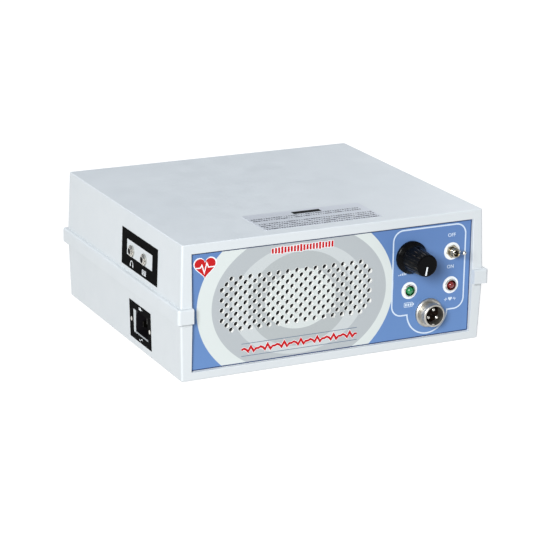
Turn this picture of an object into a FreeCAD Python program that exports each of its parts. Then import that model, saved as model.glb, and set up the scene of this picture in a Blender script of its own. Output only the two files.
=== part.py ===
import FreeCAD, Part
import math
import os

# A desk-top fetal doppler monitor: a moulded case in two halves, with a printed and perforated
# front panel held in a groove between them. All sizes are in millimetres. +Z is up, the front
# looks along -Y, and the origin is the middle of the flat underside.

V = FreeCAD.Vector
X = V(1, 0, 0)
Y = V(0, 1, 0)
Z = V(0, 0, 1)

# ---- Case ----
case_width = 227.0        # across the sides, at the joint line
case_depth = 206.1        # front to back, at the joint line
case_height = 93.0
joint_height = 45.7       # where the two moulded halves are widest
draft = 0.031             # mould draft, as a slope
wall = 2.5
corner_radius = 1.4       # upright corners
edge_radius = 0.8         # round the top and the underside

# ---- Overlap band and rim ----
band_below = 5.0          # the band's lower edge under the joint line
band_above = 5.0
band_proud = 2.8
band_corner_radius = 2.0  # its upright corners
band_edge_radius = 1.2    # and round its top
rim_rise = 3.0            # the lower half's rim above the joint line, inside the band
rim_gap = 0.2

# ---- Front opening and panel ----
frame_side = 8.4          # case left beside the opening
frame_top = 6.6
frame_bottom = 5.8
opening_edge_radius = 0.5
face_recess = 3.25        # the film's face behind the case's front
film_thickness = 0.25
film_gap = 0.3
panel_thickness = 2.0
panel_bite = 3.3          # how far the panel enters its groove
groove_gap = 0.1
keeper_thickness = 2.0    # rib behind the panel
keeper_bite = 1.6

# ---- Perforations ----
hole_radius = 1.8
hole_rows = 11
hole_row_pitch = 3.5
holes_in_end_row = 15
holes_in_long_row = 17
grille_margin = 22.5      # a long row's first hole from the opening's left edge
grille_knob_gap = 30.92   # and its last hole from the knob's axis

# ---- Screws and fits ----
pillar_side_inset = 11.0  # case screw pillars, in from the sides
pillar_end_inset = 16.45  # and from the front and back
pillar_radius = 4.5
pillar_split_drop = 1.7   # where the two pillars meet, below the joint line
screw_recess_radius = 3.6
screw_recess_depth = 28.0
case_screw_radius = 1.7
case_screw_length = 30.0
screw_head_radius = 3.2
screw_head_height = 2.2
screw_head_bevel = 0.5
cross_width = 0.9         # the driver's cross in a screw head
cross_length = 3.3
cross_depth = 1.0
small_screw_radius = 1.3
small_head_radius = 2.6
small_head_height = 1.8
blind_hole_depth = 1.25   # how far a small screw's hole enters the floor
m3_nut_flats = 5.5
m3_nut_thickness = 2.4
screw_fit = 0.05          # gap round a shank
snug_fit = 0.02           # gap where two pieces are pushed together

# ---- Solder lugs ----
lug_length = 4.0
lug_thickness = 0.8
lug_width = 2.0

# ---- Volume control ----
knob_side = 47.7          # its axis from the opening's right edge
knob_drop = 21.6          # and below the opening's top
knob_lift = 0.6           # skirt above the film
knob_height = 23.5
skirt_radius = 11.4
skirt_thickness = 1.9
skirt_bevel = 0.6
knob_waist_radius = 8.9
knob_waist_height = 5.8
knob_foot = 0.9           # small cone between the skirt and the waist
cap_radius = 7.7
cap_edge = 0.9            # rounding of the cap's rim
knob_hollow_radius = 8.0
knob_hollow_depth = 3.6
knob_roof = 4.0           # solid end above the shaft's bore
flute_count = 20
flute_radius = 0.8
flute_depth = 0.35
flute_lift = 0.6          # where the flutes start above the waist
pointer_turn = 190.0      # degrees clockwise from twelve, at the low stop
pointer_width = 1.2
pointer_depth = 0.4
pointer_inset = 1.0       # its outer end from the cap's rim
pointer_start = 0.8       # its inner end from the middle
shaft_radius = 3.0
shaft_gap = 0.05
shaft_end_gap = 0.6
shaft_flat_depth = 0.8
shaft_flat_length = 12.0
grub_radius = 1.5
grub_length = 4.6
grub_lift = 9.0           # its axis above the film
pot_radius = 12.0
pot_depth = 9.0
pot_wall = 1.2
pot_bush_radius = 4.75
pot_bush_reach = 4.0
pot_nut_flats = 12.5
pot_nut_thickness = 2.2
pot_lug_pitch = 5.0
pot_lug_seat = 4.0        # the lugs' front behind the panel
wiper_thickness = 1.5
wiper_gap = 1.0

# ---- Power switch ----
switch_side = 15.2
switch_drop = 21.4
lever_tilt = 13.0         # degrees above level, in the off position
switch_pivot = 3.0        # pivot in front of the film
switch_bush_radius = 3.0
switch_bush_reach = 6.6
switch_bush_bevel = 0.35
switch_bore_radius = 2.3
lever_ball_radius = 2.25
lever_neck_radius = 0.9
lever_neck_length = 5.5
lever_taper_end = 10.5
lever_tip_radius = 1.5
lever_reach = 14.8
lever_tail = 6.6
lever_tail_radius = 0.7
switch_nut_flats = 8.0
switch_nut_thickness = 1.8
switch_nut_turn = 15.0
switch_body_width = 8.0
switch_body_height = 13.0
switch_body_depth = 9.0
switch_plate = 1.0
switch_well_gap = 0.4     # room round the lever's tail
switch_lug_pitch = 4.7

# ---- Indicators ----
led_side = (47.7, 15.3)
led_drop = 23.95          # below the knob's axis
bezel_radius = 4.4
bezel_thickness = 1.3
bezel_bevel = 0.5
bezel_lip = 0.3
bezel_barrel_radius = 3.9
bezel_length = 10.0
bezel_mouth_radius = 3.7
bezel_bowl_depth = 3.8
led_radius = 2.5
led_reach = 2.8
led_rim_radius = 2.9
led_rim_thickness = 1.0
led_leg_pitch = 2.54
led_leg_width = 0.5
led_leg_length = 9.0
led_nut_flats = 10.0
led_nut_thickness = 2.0

# ---- Probe socket ----
socket_side = 32.2
socket_rise = 17.4        # its axis above the opening's foot
socket_flange_radius = 10.2
socket_flange = 2.3
socket_flange_bevel = 0.8
socket_radius = 8.0
socket_reach = 9.0
socket_bevel = 0.4
socket_tail = 12.0
socket_bore_radius = 6.8
socket_insert_face = 1.5
socket_insert_inset = 1.0
socket_pin_radius = 1.2
socket_pin_tip = 0.7      # rounding of a pin's end
socket_pin_circle = 3.7
socket_pin_reach = 6.8
socket_pin_tail = 2.5
socket_pin_angle = 83.0
socket_key_angle = 263.0
socket_key_width = 2.0
socket_key_depth = 0.9
socket_nut_flats = 20.0
socket_nut_thickness = 2.5

# ---- Left side: jacks ----
jack_distance = 61.85     # the tape jack behind the case's front
jack_spacing = 21.6
jack_rise = 16.35         # their axes above the band
jack_bush_radius = 3.0
jack_bush_proud = 0.6
jack_bush_bevel = 0.3
jack_bore_radius = 1.8
jack_bore_depth = 16.0
jack_body = 11.0
jack_body_depth = 13.0
jack_nut_radius = 4.0
jack_nut_thickness = 1.6
jack_nut_bevel = 0.4
jack_nut_slot_width = 1.0
jack_nut_slot_depth = 0.7
jack_lug_pitch = 3.5
jack_lug_width = 1.8
jack_label_front = 22.45  # label beyond the tape jack's axis
jack_label_back = 17.9    # and beyond the earphone jack's
jack_label_half_height = 12.9
jack_window_front = 13.65  # bare window in the label, from the same axes
jack_window_back = 9.2
jack_window_below = 4.5
jack_window_above = 6.6
label_thickness = 0.2

# ---- Left side: mains inlet ----
inlet_distance = 69.25
inlet_z = 18.5
inlet_hole_width = 25.2
inlet_hole_height = 16.8
inlet_wall = 1.6          # wall left at the cut-out
inlet_flange_width = 40.0
inlet_flange_height = 22.0
inlet_flange = 2.5
inlet_seat_gap = 0.5
inlet_body_width = 26.4
inlet_body_height = 18.4
inlet_body_depth = 22.0
inlet_cavity_width = 24.4
inlet_cavity_height = 16.2
inlet_cavity_depth = 15.0
inlet_cavity_chamfer = 4.5
inlet_screw_pitch = 32.0
inlet_screw_radius = 1.5
inlet_head_radius = 2.8
inlet_head_height = 2.0
inlet_label_front = 18.0  # label edges from the inlet's axis
inlet_label_back = 19.2
inlet_label_below = 13.2
inlet_label_above = 13.5
blade_spacing = 14.0
blade_rise = 2.0          # the middle blade up, the outer ones down
blade_thickness = 2.0
blade_height = 4.0
blade_length = 12.0
blade_tail = 7.0

# ---- Top label ----
top_label_x = -4.0
top_label_width = 88.0
top_label_distance = 11.45
top_label_depth = 37.0
top_label_corner = 1.5

# ---- Speaker ----
speaker_roof_gap = 3.7    # the largest speaker that leaves these gaps to the roof and the floor
speaker_floor_gap = 7.3
speaker_plate = 1.0
gasket_thickness = 1.5
gasket_width = 4.0
basket_back_radius = 22.0
basket_depth = 20.0
basket_wall = 1.0
basket_hub_width = 8.0    # flat ring at the basket's back, under the magnet
basket_window_count = 6
basket_window_width = 12.0
basket_window_inset = 4.0
basket_window_inner = 19.0
magnet_radius = 21.0
magnet_depth = 13.0
magnet_plate_step = 1.5
magnet_plate = 2.0
magnet_slot_floor = 3.0
coil_radius = 8.2
coil_wall = 0.6
coil_gap = 0.4
coil_end_gap = 3.0        # coil's end above the slot's floor
cone_rim_inset = 9.0      # cone's rim inside the basket's
cone_set_back = 0.6       # cone's rim behind the gasket
cone_depth = 12.0
cone_wall = 0.6
cone_neck = 0.3           # cone's hole outside the coil
coil_rise = 1.5           # coil's end in front of the cone's neck
surround_wall = 0.5
surround_gap = 0.4
surround_rise = 1.0
surround_slope = 1.2
surround_step = 0.3
dust_cap_height = 3.5
dust_cap_wall = 0.5
stud_outset = 1.53        # panel studs beyond the basket's rim, on its diagonals
stud_radius = 1.45
stud_length = 7.5
speaker_ear_radius = 4.6
cloth_thickness = 0.4
cloth_side_margin = 2.66  # cloth beyond the outermost holes
cloth_end_margin = 2.2
cloth_corner = 6.0
cloth_stud_gap = 0.3

# ---- Main board ----
board_x = 15.0
board_distance = 24.95    # its front edge behind the panel
board_width = 130.0
board_depth = 62.0
board_thickness = 1.6
board_lift = 5.5          # underside above the floor
board_boss_inset = 5.0
board_boss_radius = 3.5
screw_point_gap = 0.5     # a board screw's point above the floor
chip_depth = 6.4
chip_low = 0.5
chip_high = 4.0
chip_leg_span = 7.8
chip_leg_height = 1.6
chip_leg_inset = 0.75
can_bevel = 0.5
header_width = 8.0
header_depth = 6.0
header_height = 7.0

# Middle of each chip from the board's middle, and its length
chip_sizes = ((-38, 8, 19), (-38, -12, 19), (-8, 8, 19), (-8, -12, 10), (22, 8, 10))
# Middle of each capacitor from the board's middle, its radius and its height
can_sizes = ((40, 10, 5, 16), (40, -6, 5, 16), (22, -10, 4, 12), (8, -22, 3.2, 11))
# Middle of each plug-in header from the board's middle
header_sizes = {"speaker": (-30, -22.5), "volume": (35, -22.5), "lamps": (45, -22.5), "probe": (55, -18),
                "power": (56, 14), "supply": (-56, 14), "jacks": (-56, -8)}

# ---- Transformer ----
transformer_side = 43.0   # its middle from the case's left side
transformer_back = 57.45  # and from the case's back
core_width = 48.0
core_height = 40.0
core_depth = 22.0
core_leg = 8.0
winding_depth = 38.0
pad_height = 2.0
strap_thickness = 1.2
strap_foot = 10.0
core_strap_width = 18.0

# ---- Battery ----
battery_side = 79.0       # its middle from the case's right side
battery_back = 30.45
battery_width = 97.0
battery_depth = 43.0
battery_height = 52.0
battery_corner = 2.0
battery_strap_width = 20.0
tab_offset = 40.0
tab_forward = 14.0
tab_width = 4.8
tab_thickness = 0.8
tab_height = 6.3

# ---- Leads ----
lead_radius = 0.9
probe_lead_radius = 0.7
receptacle_width = 6.4
receptacle_depth = 2.4
receptacle_lift = 0.6
receptacle_height = 9.0
bend_share = 0.45         # of the shorter run, taken by each bend
header_steps = {"jacks": 1.5, "probe": 2.4, "power": 2.5, "lamps": 1.8}   # between two leads on one header
# Each lead's straight run from its lug, and the height from which it comes down on its header
lead_runs = {"speaker": (12.0, 9.0), "volume": (9.0, 17.0), "jacks": (9.0, 22.0), "probe": (6.0, 10.0),
             "power": (10.0, 22.0), "lamps": (6.0, 14.0), "supply": (9.0, 16.0)}
battery_lead_rise = 7.0
battery_lead_over = 24.0
# Where each battery lead turns towards the board, from its tab
battery_lead_bends = ((25.0, -30.0, 8.0), (0.0, -25.0, 7.0))
mains_lead_exits = (10.0, 7.0, 7.0)          # live, neutral and earth, straight from their blades
mains_lead_ends = (25.0, 20.0, 18.0)         # and straight into the transformer
earth_lead_bend = (7.0, 22.0, 4.0)           # where the earth lead turns, from its blade

# ---- Places that follow from the sizes above ----
band_low = joint_height - band_below
band_high = joint_height + band_above
rim_top = joint_height + rim_rise
pillar_split = joint_height - pillar_split_drop
pillar_x = case_width / 2 - pillar_side_inset
pillar_y = case_depth / 2 - pillar_end_inset
opening_half_width = case_width / 2 - frame_side
opening_low = frame_bottom
opening_high = case_height - frame_top
front_y = -case_depth / 2
face_y = front_y + face_recess
film_back = face_y + film_thickness
panel_back = film_back + panel_thickness
keeper_front = panel_back + groove_gap
keeper_back = keeper_front + keeper_thickness
panel_half_width = opening_half_width + panel_bite
panel_low = opening_low - panel_bite
panel_high = opening_high + panel_bite
floor = wall
ceiling = case_height - wall
knob_x = opening_half_width - knob_side
knob_z = opening_high - knob_drop
switch_x = opening_half_width - switch_side
switch_z = opening_high - switch_drop
socket_x = opening_half_width - socket_side
socket_z = opening_low + socket_rise
led_x = tuple(opening_half_width - side for side in led_side)
led_z = knob_z - led_drop
grille_left = grille_margin - opening_half_width
grille_right = knob_x - grille_knob_gap
grille_x = (grille_left + grille_right) / 2
hole_pitch = (grille_right - grille_left) / (holes_in_long_row - 1)
speaker_radius = (ceiling - floor - speaker_roof_gap - speaker_floor_gap) / 2
grille_z = floor + speaker_floor_gap + speaker_radius
cone_rim_radius = speaker_radius - cone_rim_inset
stud_offset = (speaker_radius + stud_outset) / math.sqrt(2)
cloth_half_width = (grille_right - grille_left) / 2 + hole_radius + cloth_side_margin
cloth_half_height = (hole_rows - 1) / 2 * hole_row_pitch + hole_radius + cloth_end_margin
jack_z = band_high + jack_rise
jack_y = (front_y + jack_distance + jack_spacing, front_y + jack_distance)
inlet_y = front_y + inlet_distance
board_y = panel_back + board_distance + board_depth / 2
board_top = floor + board_lift + board_thickness
header_top = board_top + header_height
transformer_x = transformer_side - case_width / 2
transformer_y = case_depth / 2 - transformer_back
battery_x = case_width / 2 - battery_side
battery_y = case_depth / 2 - battery_back
battery_top = floor + battery_height
LOWER = draft             # the lower half widens as it rises
UPPER = -draft            # and the upper half narrows


# ---- Small tools ----
def block(x0, x1, y0, y1, z0, z1):
    return Part.makeBox(x1 - x0, y1 - y0, z1 - z0, V(x0, y0, z0))


def middle_block(x, y, width, depth, z0, z1):
    return block(x - width / 2, x + width / 2, y - depth / 2, y + depth / 2, z0, z1)


def rod(radius, start, along, length):
    return Part.makeCylinder(radius, length, start, along)


def fuse(shapes):
    return shapes[0].fuse(list(shapes[1:])).removeSplitter() if len(shapes) > 1 else shapes[0]


def lathe(profile, place, along):
    """A turned piece: (radius, distance) pairs round the profile, swept about an axis."""
    points = [V(radius, 0, distance) for radius, distance in profile]
    face = Part.Face(Part.makePolygon(points + points[:1]))
    solid = face.revolve(V(0, 0, 0), Z, 360)
    if solid.Volume < 0:
        solid.reverse()
    solid.Placement = FreeCAD.Placement(place, FreeCAD.Rotation(Z, along))
    return solid


def ring(outer, inner, place, along, thickness):
    return rod(outer, place, along, thickness).cut(rod(inner, place, along, thickness))


def hexagon(flats, bore, place, along, thickness, turn=0.0):
    """A six-sided nut: its size across the flats, its bore, and where its near face sits."""
    reach = flats / 2 / math.cos(math.radians(30))
    points = []
    for side in range(6):
        angle = math.radians(60 * side + turn)
        points.append(V(reach * math.cos(angle), reach * math.sin(angle), 0))
    nut = Part.Face(Part.makePolygon(points + points[:1])).extrude(V(0, 0, thickness))
    nut = nut.cut(rod(bore, V(0, 0, 0), Z, thickness))
    bevel = reach - flats / 2
    outside = lathe([(0, 0), (reach, 0), (reach, thickness - bevel * 0.6),
                     (flats / 2, thickness), (0, thickness)], V(0, 0, 0), Z)
    nut = nut.common(outside)
    nut.Placement = FreeCAD.Placement(place, FreeCAD.Rotation(Z, along))
    return nut


def cross_recess(place, along):
    """The driver's cross, cut into a screw head from its face."""
    arms = [block(-cross_length / 2, cross_length / 2, -cross_width / 2, cross_width / 2, 0, cross_depth),
            block(-cross_width / 2, cross_width / 2, -cross_length / 2, cross_length / 2, 0, cross_depth)]
    cross = fuse(arms)
    cross.Placement = FreeCAD.Placement(place, FreeCAD.Rotation(Z, along))
    return cross


def small_screw(x, y, seat, point):
    """A pan-headed screw that stands head up, from its seat down to its point."""
    head = rod(small_head_radius, V(x, y, seat), Z, small_head_height)
    return head.fuse(rod(small_screw_radius, V(x, y, point), Z, seat - point))


def half_size(size, z, lean, grow):
    return size / 2 + lean * (z - joint_height) + grow


def case_form(z0, z1, lean, grow=0.0):
    """The drafted form of one case half between two heights, with every side moved out by grow."""
    x0 = half_size(case_width, z0, lean, grow)
    y0 = half_size(case_depth, z0, lean, grow)
    x1 = half_size(case_width, z1, lean, grow)
    y1 = half_size(case_depth, z1, lean, grow)
    form = Part.makeWedge(-x0, z0, -y0, -y1, -x1, x0, z1, y0, y1, x1)
    form.rotate(V(0, 0, 0), X, 90)
    return form


def upright_edges(shape):
    found = []
    for edge in shape.Edges:
        first, last = edge.Vertexes[0].Point, edge.Vertexes[-1].Point
        if abs(first.z - last.z) > 0.9 * shape.BoundBox.ZLength:
            found.append(edge)
    return found


def edges_at_height(shape, z):
    return [e for e in shape.Edges if abs(e.BoundBox.ZMin - z) < 0.01 and abs(e.BoundBox.ZMax - z) < 0.01]


def side_x(z, lean):
    """The left wall's outer face at a height."""
    return -half_size(case_width, z, lean, 0)


def on_panel(x, z, forward=0.0):
    """A point in front of the film."""
    return V(x, face_y - forward, z)


def four(x, y):
    return [(sx * x, sy * y) for sx in (-1, 1) for sy in (-1, 1)]


# ---- Places of what repeats ----
def grille_holes():
    middle_row = (hole_rows - 1) // 2
    places = []
    for row in range(hole_rows):
        step = row - middle_row
        count = holes_in_long_row - 1 if step % 2 == 0 else holes_in_long_row
        if abs(step) == middle_row:
            count = holes_in_end_row
        z = grille_z + step * hole_row_pitch
        for number in range(count):
            places.append((grille_x + (number - (count - 1) / 2) * hole_pitch, z))
    return places


def control_holes():
    """Centre and radius of each round hole through the panel and its film."""
    holes = [(knob_x, knob_z, pot_bush_radius + screw_fit),
             (switch_x, switch_z, switch_bush_radius + screw_fit),
             (socket_x, socket_z, socket_radius + screw_fit)]
    for x in led_x:
        holes.append((x, led_z, bezel_barrel_radius + screw_fit))
    return holes


def stud_places():
    return [(grille_x + dx, grille_z + dz) for dx, dz in four(stud_offset, stud_offset)]


def board_boss_places():
    reach_x = board_width / 2 - board_boss_inset
    reach_y = board_depth / 2 - board_boss_inset
    return [(board_x + dx, board_y + dy) for dx, dy in four(reach_x, reach_y)]


def transformer_screw_places():
    reach = core_width / 2 + strap_thickness + strap_foot / 2
    return [(transformer_x + side * reach, transformer_y) for side in (-1, 1)]


def battery_screw_places():
    reach = battery_width / 2 + strap_thickness + strap_foot / 2
    return [(battery_x + side * reach, battery_y) for side in (-1, 1)]


def inlet_screw_places():
    return [inlet_y + side * inlet_screw_pitch / 2 for side in (-1, 1)]


# ---- The case ----
def front_cuts():
    """The window at the front, the panel's groove, and the gap inside the rib behind it."""
    window = block(-opening_half_width, opening_half_width, -case_depth, film_back, opening_low, opening_high)
    groove = block(-panel_half_width - groove_gap, panel_half_width + groove_gap, film_back, keeper_front,
                   panel_low, panel_high + groove_gap)
    keeper_half = opening_half_width + keeper_bite
    behind = block(-keeper_half, keeper_half, keeper_front, keeper_back,
                   opening_low - keeper_bite, opening_high + keeper_bite)
    return [window, groove, behind]


def hollow(z0, z1, lean):
    """The room inside one half, behind the panel's rib."""
    room = case_form(z0, z1, lean, -wall)
    return room.common(block(-case_width, case_width, keeper_back, case_depth, z0, z1))


def soften_opening(shell, z_limits):
    """Rounds the front edges of the window, in front of the panel."""
    edges = []
    for edge in shell.Edges:
        box = edge.BoundBox
        in_front = box.YMax < face_y - opening_edge_radius
        on_window = box.XMax <= opening_half_width + 0.01 and box.XMin >= -opening_half_width - 0.01
        in_height = box.ZMin > z_limits[0] - 0.01 and box.ZMax < z_limits[1] + 0.01
        if in_front and on_window and in_height and box.DiagonalLength > face_recess:
            edges.append(edge)
    return shell.makeFillet(opening_edge_radius, edges)


def make_bottom_shell():
    outside = case_form(0, rim_top, LOWER)
    outside = outside.makeFillet(corner_radius, upright_edges(outside))
    outside = outside.makeFillet(edge_radius, edges_at_height(outside, 0))
    shell = outside.cut([hollow(floor, rim_top + 1, LOWER)] + front_cuts())
    shell = soften_opening(shell, (opening_low, band_low))
    return drill_bottom(shell.fuse(bottom_posts()).removeSplitter())


def bottom_posts():
    posts = []
    for x, y in four(pillar_x, pillar_y):
        posts.append(rod(pillar_radius, V(x, y, floor), Z, pillar_split - floor))
    for x, y in board_boss_places():
        posts.append(rod(board_boss_radius, V(x, y, floor), Z, board_lift))
    foot_span = core_width + 2 * (strap_thickness + strap_foot)
    posts.append(middle_block(transformer_x, transformer_y, foot_span, core_depth, floor, floor + pad_height))
    for x, y in battery_screw_places():
        posts.append(middle_block(x, y, strap_foot, battery_strap_width, floor, floor + pad_height))
    return posts


def drill_bottom(shell):
    tools = []
    for x, y in four(pillar_x, pillar_y):
        tools.append(rod(screw_recess_radius, V(x, y, 0), Z, screw_recess_depth))
        tools.append(rod(case_screw_radius + screw_fit, V(x, y, 0), Z, pillar_split))
    for x, y in board_boss_places():
        tools.append(rod(small_screw_radius + screw_fit, V(x, y, floor), Z, board_lift))
    for x, y in transformer_screw_places() + battery_screw_places():
        tools.append(rod(small_screw_radius + screw_fit, V(x, y, floor - blind_hole_depth), Z,
                         blind_hole_depth + pad_height))
    back_of_hole = inlet_seat()
    far = -case_width / 2 - wall
    half_width = inlet_hole_width / 2
    half_height = inlet_hole_height / 2
    tools.append(block(far, back_of_hole, inlet_y - half_width, inlet_y + half_width,
                       inlet_z - half_height, inlet_z + half_height))
    seat_width = inlet_flange_width + 2 * inlet_seat_gap
    seat_height = inlet_flange_height + 2 * inlet_seat_gap
    tools.append(block(back_of_hole, back_of_hole + wall, inlet_y - seat_width / 2, inlet_y + seat_width / 2,
                       inlet_z - seat_height / 2, inlet_z + seat_height / 2))
    for y in inlet_screw_places():
        tools.append(rod(inlet_screw_radius + screw_fit, V(far, y, inlet_z), X, 3 * wall))
    return shell.cut(tools)


def make_top_shell():
    upper = case_form(joint_height, case_height, UPPER)
    upper = upper.makeFillet(corner_radius, upright_edges(upper))
    upper = upper.makeFillet(edge_radius, edges_at_height(upper, case_height))
    reach_x = case_width / 2 + band_proud
    reach_y = case_depth / 2 + band_proud
    band = block(-reach_x, reach_x, -reach_y, reach_y, band_low, band_high)
    band = band.makeFillet(band_corner_radius, upright_edges(band))
    band = band.makeFillet(band_edge_radius, edges_at_height(band, band_high))
    outside = band.fuse(upper)
    rim_reach_x = half_size(case_width, rim_top, LOWER, rim_gap)
    rim_reach_y = half_size(case_depth, rim_top, LOWER, rim_gap)
    rim_room = block(-rim_reach_x, rim_reach_x, -rim_reach_y, rim_reach_y, band_low - 1, rim_top)
    rim_room = rim_room.makeFillet(corner_radius, upright_edges(rim_room))
    shell = outside.cut([rim_room, hollow(rim_top - 1, ceiling, UPPER)] + front_cuts())
    shell = soften_opening(shell, (band_high, opening_high))
    pillars = []
    for x, y in four(pillar_x, pillar_y):
        pillars.append(rod(pillar_radius, V(x, y, pillar_split), Z, ceiling - pillar_split))
    shell = shell.fuse(pillars).removeSplitter()
    tools = []
    for x, y in four(pillar_x, pillar_y):
        tools.append(rod(case_screw_radius + screw_fit, V(x, y, pillar_split), Z, case_screw_length))
    for y in jack_y:
        far = V(-case_width, y, jack_z)
        tools.append(rod(jack_bush_radius + screw_fit, far, X, case_width / 2 + 3 * wall))
    return shell.cut(tools)


def make_case_screws():
    screws = []
    seat = screw_recess_depth
    face = seat - screw_head_height
    for x, y in four(pillar_x, pillar_y):
        head = rod(screw_head_radius, V(x, y, face), Z, screw_head_height)
        head = head.makeChamfer(screw_head_bevel, edges_at_height(head, face))
        shank = rod(case_screw_radius, V(x, y, seat), Z, case_screw_length)
        screws.append(head.fuse(shank).cut(cross_recess(V(x, y, face), Z)))
    return Part.makeCompound(screws)


# ---- Front panel ----
def pierce(sheet, y0, y1):
    tools = []
    for x, z in grille_holes():
        tools.append(rod(hole_radius, V(x, y0 - 1, z), Y, y1 - y0 + 2))
    for x, z, radius in control_holes():
        tools.append(rod(radius, V(x, y0 - 1, z), Y, y1 - y0 + 2))
    return sheet.cut(Part.makeCompound(tools))


def make_front_panel():
    sheet = block(-panel_half_width, panel_half_width, film_back, panel_back, panel_low, panel_high)
    studs = [rod(stud_radius, V(x, panel_back, z), Y, stud_length) for x, z in stud_places()]
    return pierce(sheet, film_back, panel_back).fuse(studs)


def make_front_overlay():
    half_width = opening_half_width - film_gap
    sheet = block(-half_width, half_width, face_y, film_back, opening_low + film_gap, opening_high - film_gap)
    return pierce(sheet, face_y, film_back)


def make_grille_cloth():
    cloth = block(grille_x - cloth_half_width, grille_x + cloth_half_width, panel_back,
                  panel_back + cloth_thickness, grille_z - cloth_half_height, grille_z + cloth_half_height)
    edges = [e for e in cloth.Edges if e.BoundBox.YLength > cloth_thickness / 2]
    cloth = cloth.makeFillet(cloth_corner, edges)
    return cloth.cut([rod(stud_radius + cloth_stud_gap, V(x, panel_back, z), Y, cloth_thickness)
                      for x, z in stud_places()])


# ---- Volume control ----
def pointer_direction():
    angle = math.radians(pointer_turn)
    return V(math.sin(angle), 0, math.cos(angle))


def knob_point(forward):
    """A point on the knob's axis, in its own frame, whose origin is where the axis meets the film."""
    return V(0, -forward, 0)


def on_knob(shape):
    """Moves a shape from the knob's own frame to its place."""
    shape.translate(on_panel(knob_x, knob_z))
    return shape


def make_volume_knob():
    low = knob_lift
    hollow_top = low + knob_hollow_depth
    skirt_top = low + skirt_thickness
    roof = knob_height - knob_roof
    bore = shaft_radius + snug_fit
    profile = [(knob_hollow_radius, low), (skirt_radius, low), (skirt_radius, skirt_top),
               (skirt_radius - skirt_bevel, skirt_top + skirt_bevel),
               (knob_waist_radius + knob_foot / 2, knob_waist_height - knob_foot),
               (knob_waist_radius, knob_waist_height), (cap_radius, knob_height - cap_edge),
               (cap_radius - cap_edge / 3, knob_height - cap_edge / 3), (cap_radius - cap_edge, knob_height),
               (0, knob_height), (0, roof), (bore, roof), (bore, hollow_top),
               (knob_hollow_radius, hollow_top)]
    knob = lathe(profile, knob_point(0), -Y)
    knob = knob.cut(flute_tools()).cut(pointer_line())
    return on_knob(knob.cut(grub_rod(grub_radius + snug_fit, 2 * skirt_radius)))


def flute_tools():
    """Round-bottomed flutes down the cap's tapered side."""
    start_height = knob_waist_height + flute_lift
    outward = flute_radius - flute_depth
    tools = []
    for number in range(flute_count):
        angle = math.radians(360 * (number + 0.5) / flute_count + pointer_turn)
        side = V(math.sin(angle), 0, math.cos(angle))
        start = knob_point(start_height) + side * (knob_waist_radius + outward)
        end = knob_point(knob_height + flute_radius) + side * (cap_radius + outward)
        tools.append(rod(flute_radius, start, end - start, (end - start).Length))
        tools.append(Part.makeSphere(flute_radius, start))
    return tools


def pointer_line():
    """The white line across half of the cap's face, let into it."""
    half = pointer_width / 2
    line = block(-half, half, 0, pointer_depth, pointer_start, cap_radius - pointer_inset)
    line.Placement = FreeCAD.Placement(knob_point(knob_height), FreeCAD.Rotation(Y, pointer_turn))
    return line


def make_knob_pointer():
    return on_knob(pointer_line())


def grub_rod(radius, reach):
    """A radial rod on the side away from the pointer, from the shaft's flat outwards."""
    away = pointer_direction() * -1
    start = knob_point(grub_lift) + away * (shaft_radius - shaft_flat_depth)
    return rod(radius, start, away, reach)


def make_knob_grub_screw():
    return on_knob(grub_rod(grub_radius, grub_length))


def make_volume_shaft():
    wiper_back = panel_back + pot_depth - pot_wall - wiper_gap
    start = V(knob_x, wiper_back, knob_z)
    length = wiper_back - (face_y - knob_height + knob_roof + shaft_end_gap)
    shaft = rod(shaft_radius, start, -Y, length)
    away = pointer_direction() * -1
    half = shaft_flat_length / 2
    flat = block(-half, half, -half, half, shaft_radius - shaft_flat_depth, 2 * shaft_radius)
    flat.Placement = FreeCAD.Placement(on_panel(knob_x, knob_z, grub_lift), FreeCAD.Rotation(Z, away))
    wiper = rod(pot_radius - pot_wall - wiper_gap, start, -Y, wiper_thickness)
    return fuse([shaft.cut(flat), wiper])


def make_volume_pot():
    bore = shaft_radius + shaft_gap
    front = face_y - pot_bush_reach - panel_back
    profile = [(bore, front), (pot_bush_radius, front), (pot_bush_radius, 0), (pot_radius, 0),
               (pot_radius, pot_depth), (0, pot_depth), (0, pot_depth - pot_wall),
               (pot_radius - pot_wall, pot_depth - pot_wall), (pot_radius - pot_wall, pot_wall),
               (bore, pot_wall)]
    return lathe(profile, V(knob_x, panel_back, knob_z), Y)


def make_pot_nut():
    return hexagon(pot_nut_flats, pot_bush_radius + screw_fit, on_panel(knob_x, knob_z), -Y,
                   pot_nut_thickness)


def make_pot_lugs():
    """Lugs that hang from the housing's lower side."""
    lugs = []
    front = panel_back + pot_lug_seat
    for step in (-pot_lug_pitch, 0.0, pot_lug_pitch):
        nearest = max(abs(step) - lug_width / 2, 0)
        top = knob_z - math.sqrt(pot_radius ** 2 - nearest ** 2)
        lugs.append(middle_block(knob_x + step, front + lug_thickness / 2, lug_width, lug_thickness,
                                 top - lug_length, top))
    return Part.makeCompound(lugs)


# ---- Power switch ----
def switch_block(front, depth):
    half_width = switch_body_width / 2
    half_height = switch_body_height / 2
    return block(switch_x - half_width, switch_x + half_width, front, front + depth,
                 switch_z - half_height, switch_z + half_height)


def make_toggle_bushing():
    back = V(switch_x, panel_back, switch_z)
    bush = rod(switch_bush_radius, back, -Y, panel_back - face_y + switch_bush_reach)
    rim = [e for e in bush.Edges if e.BoundBox.YMax < face_y - switch_bush_reach + 0.01]
    bush = bush.makeChamfer(switch_bush_bevel, rim)
    plate = switch_block(panel_back, switch_plate)
    bore = rod(switch_bore_radius, V(switch_x, -case_depth, switch_z), Y, case_depth)
    return bush.fuse(plate).removeSplitter().cut(bore)


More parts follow.
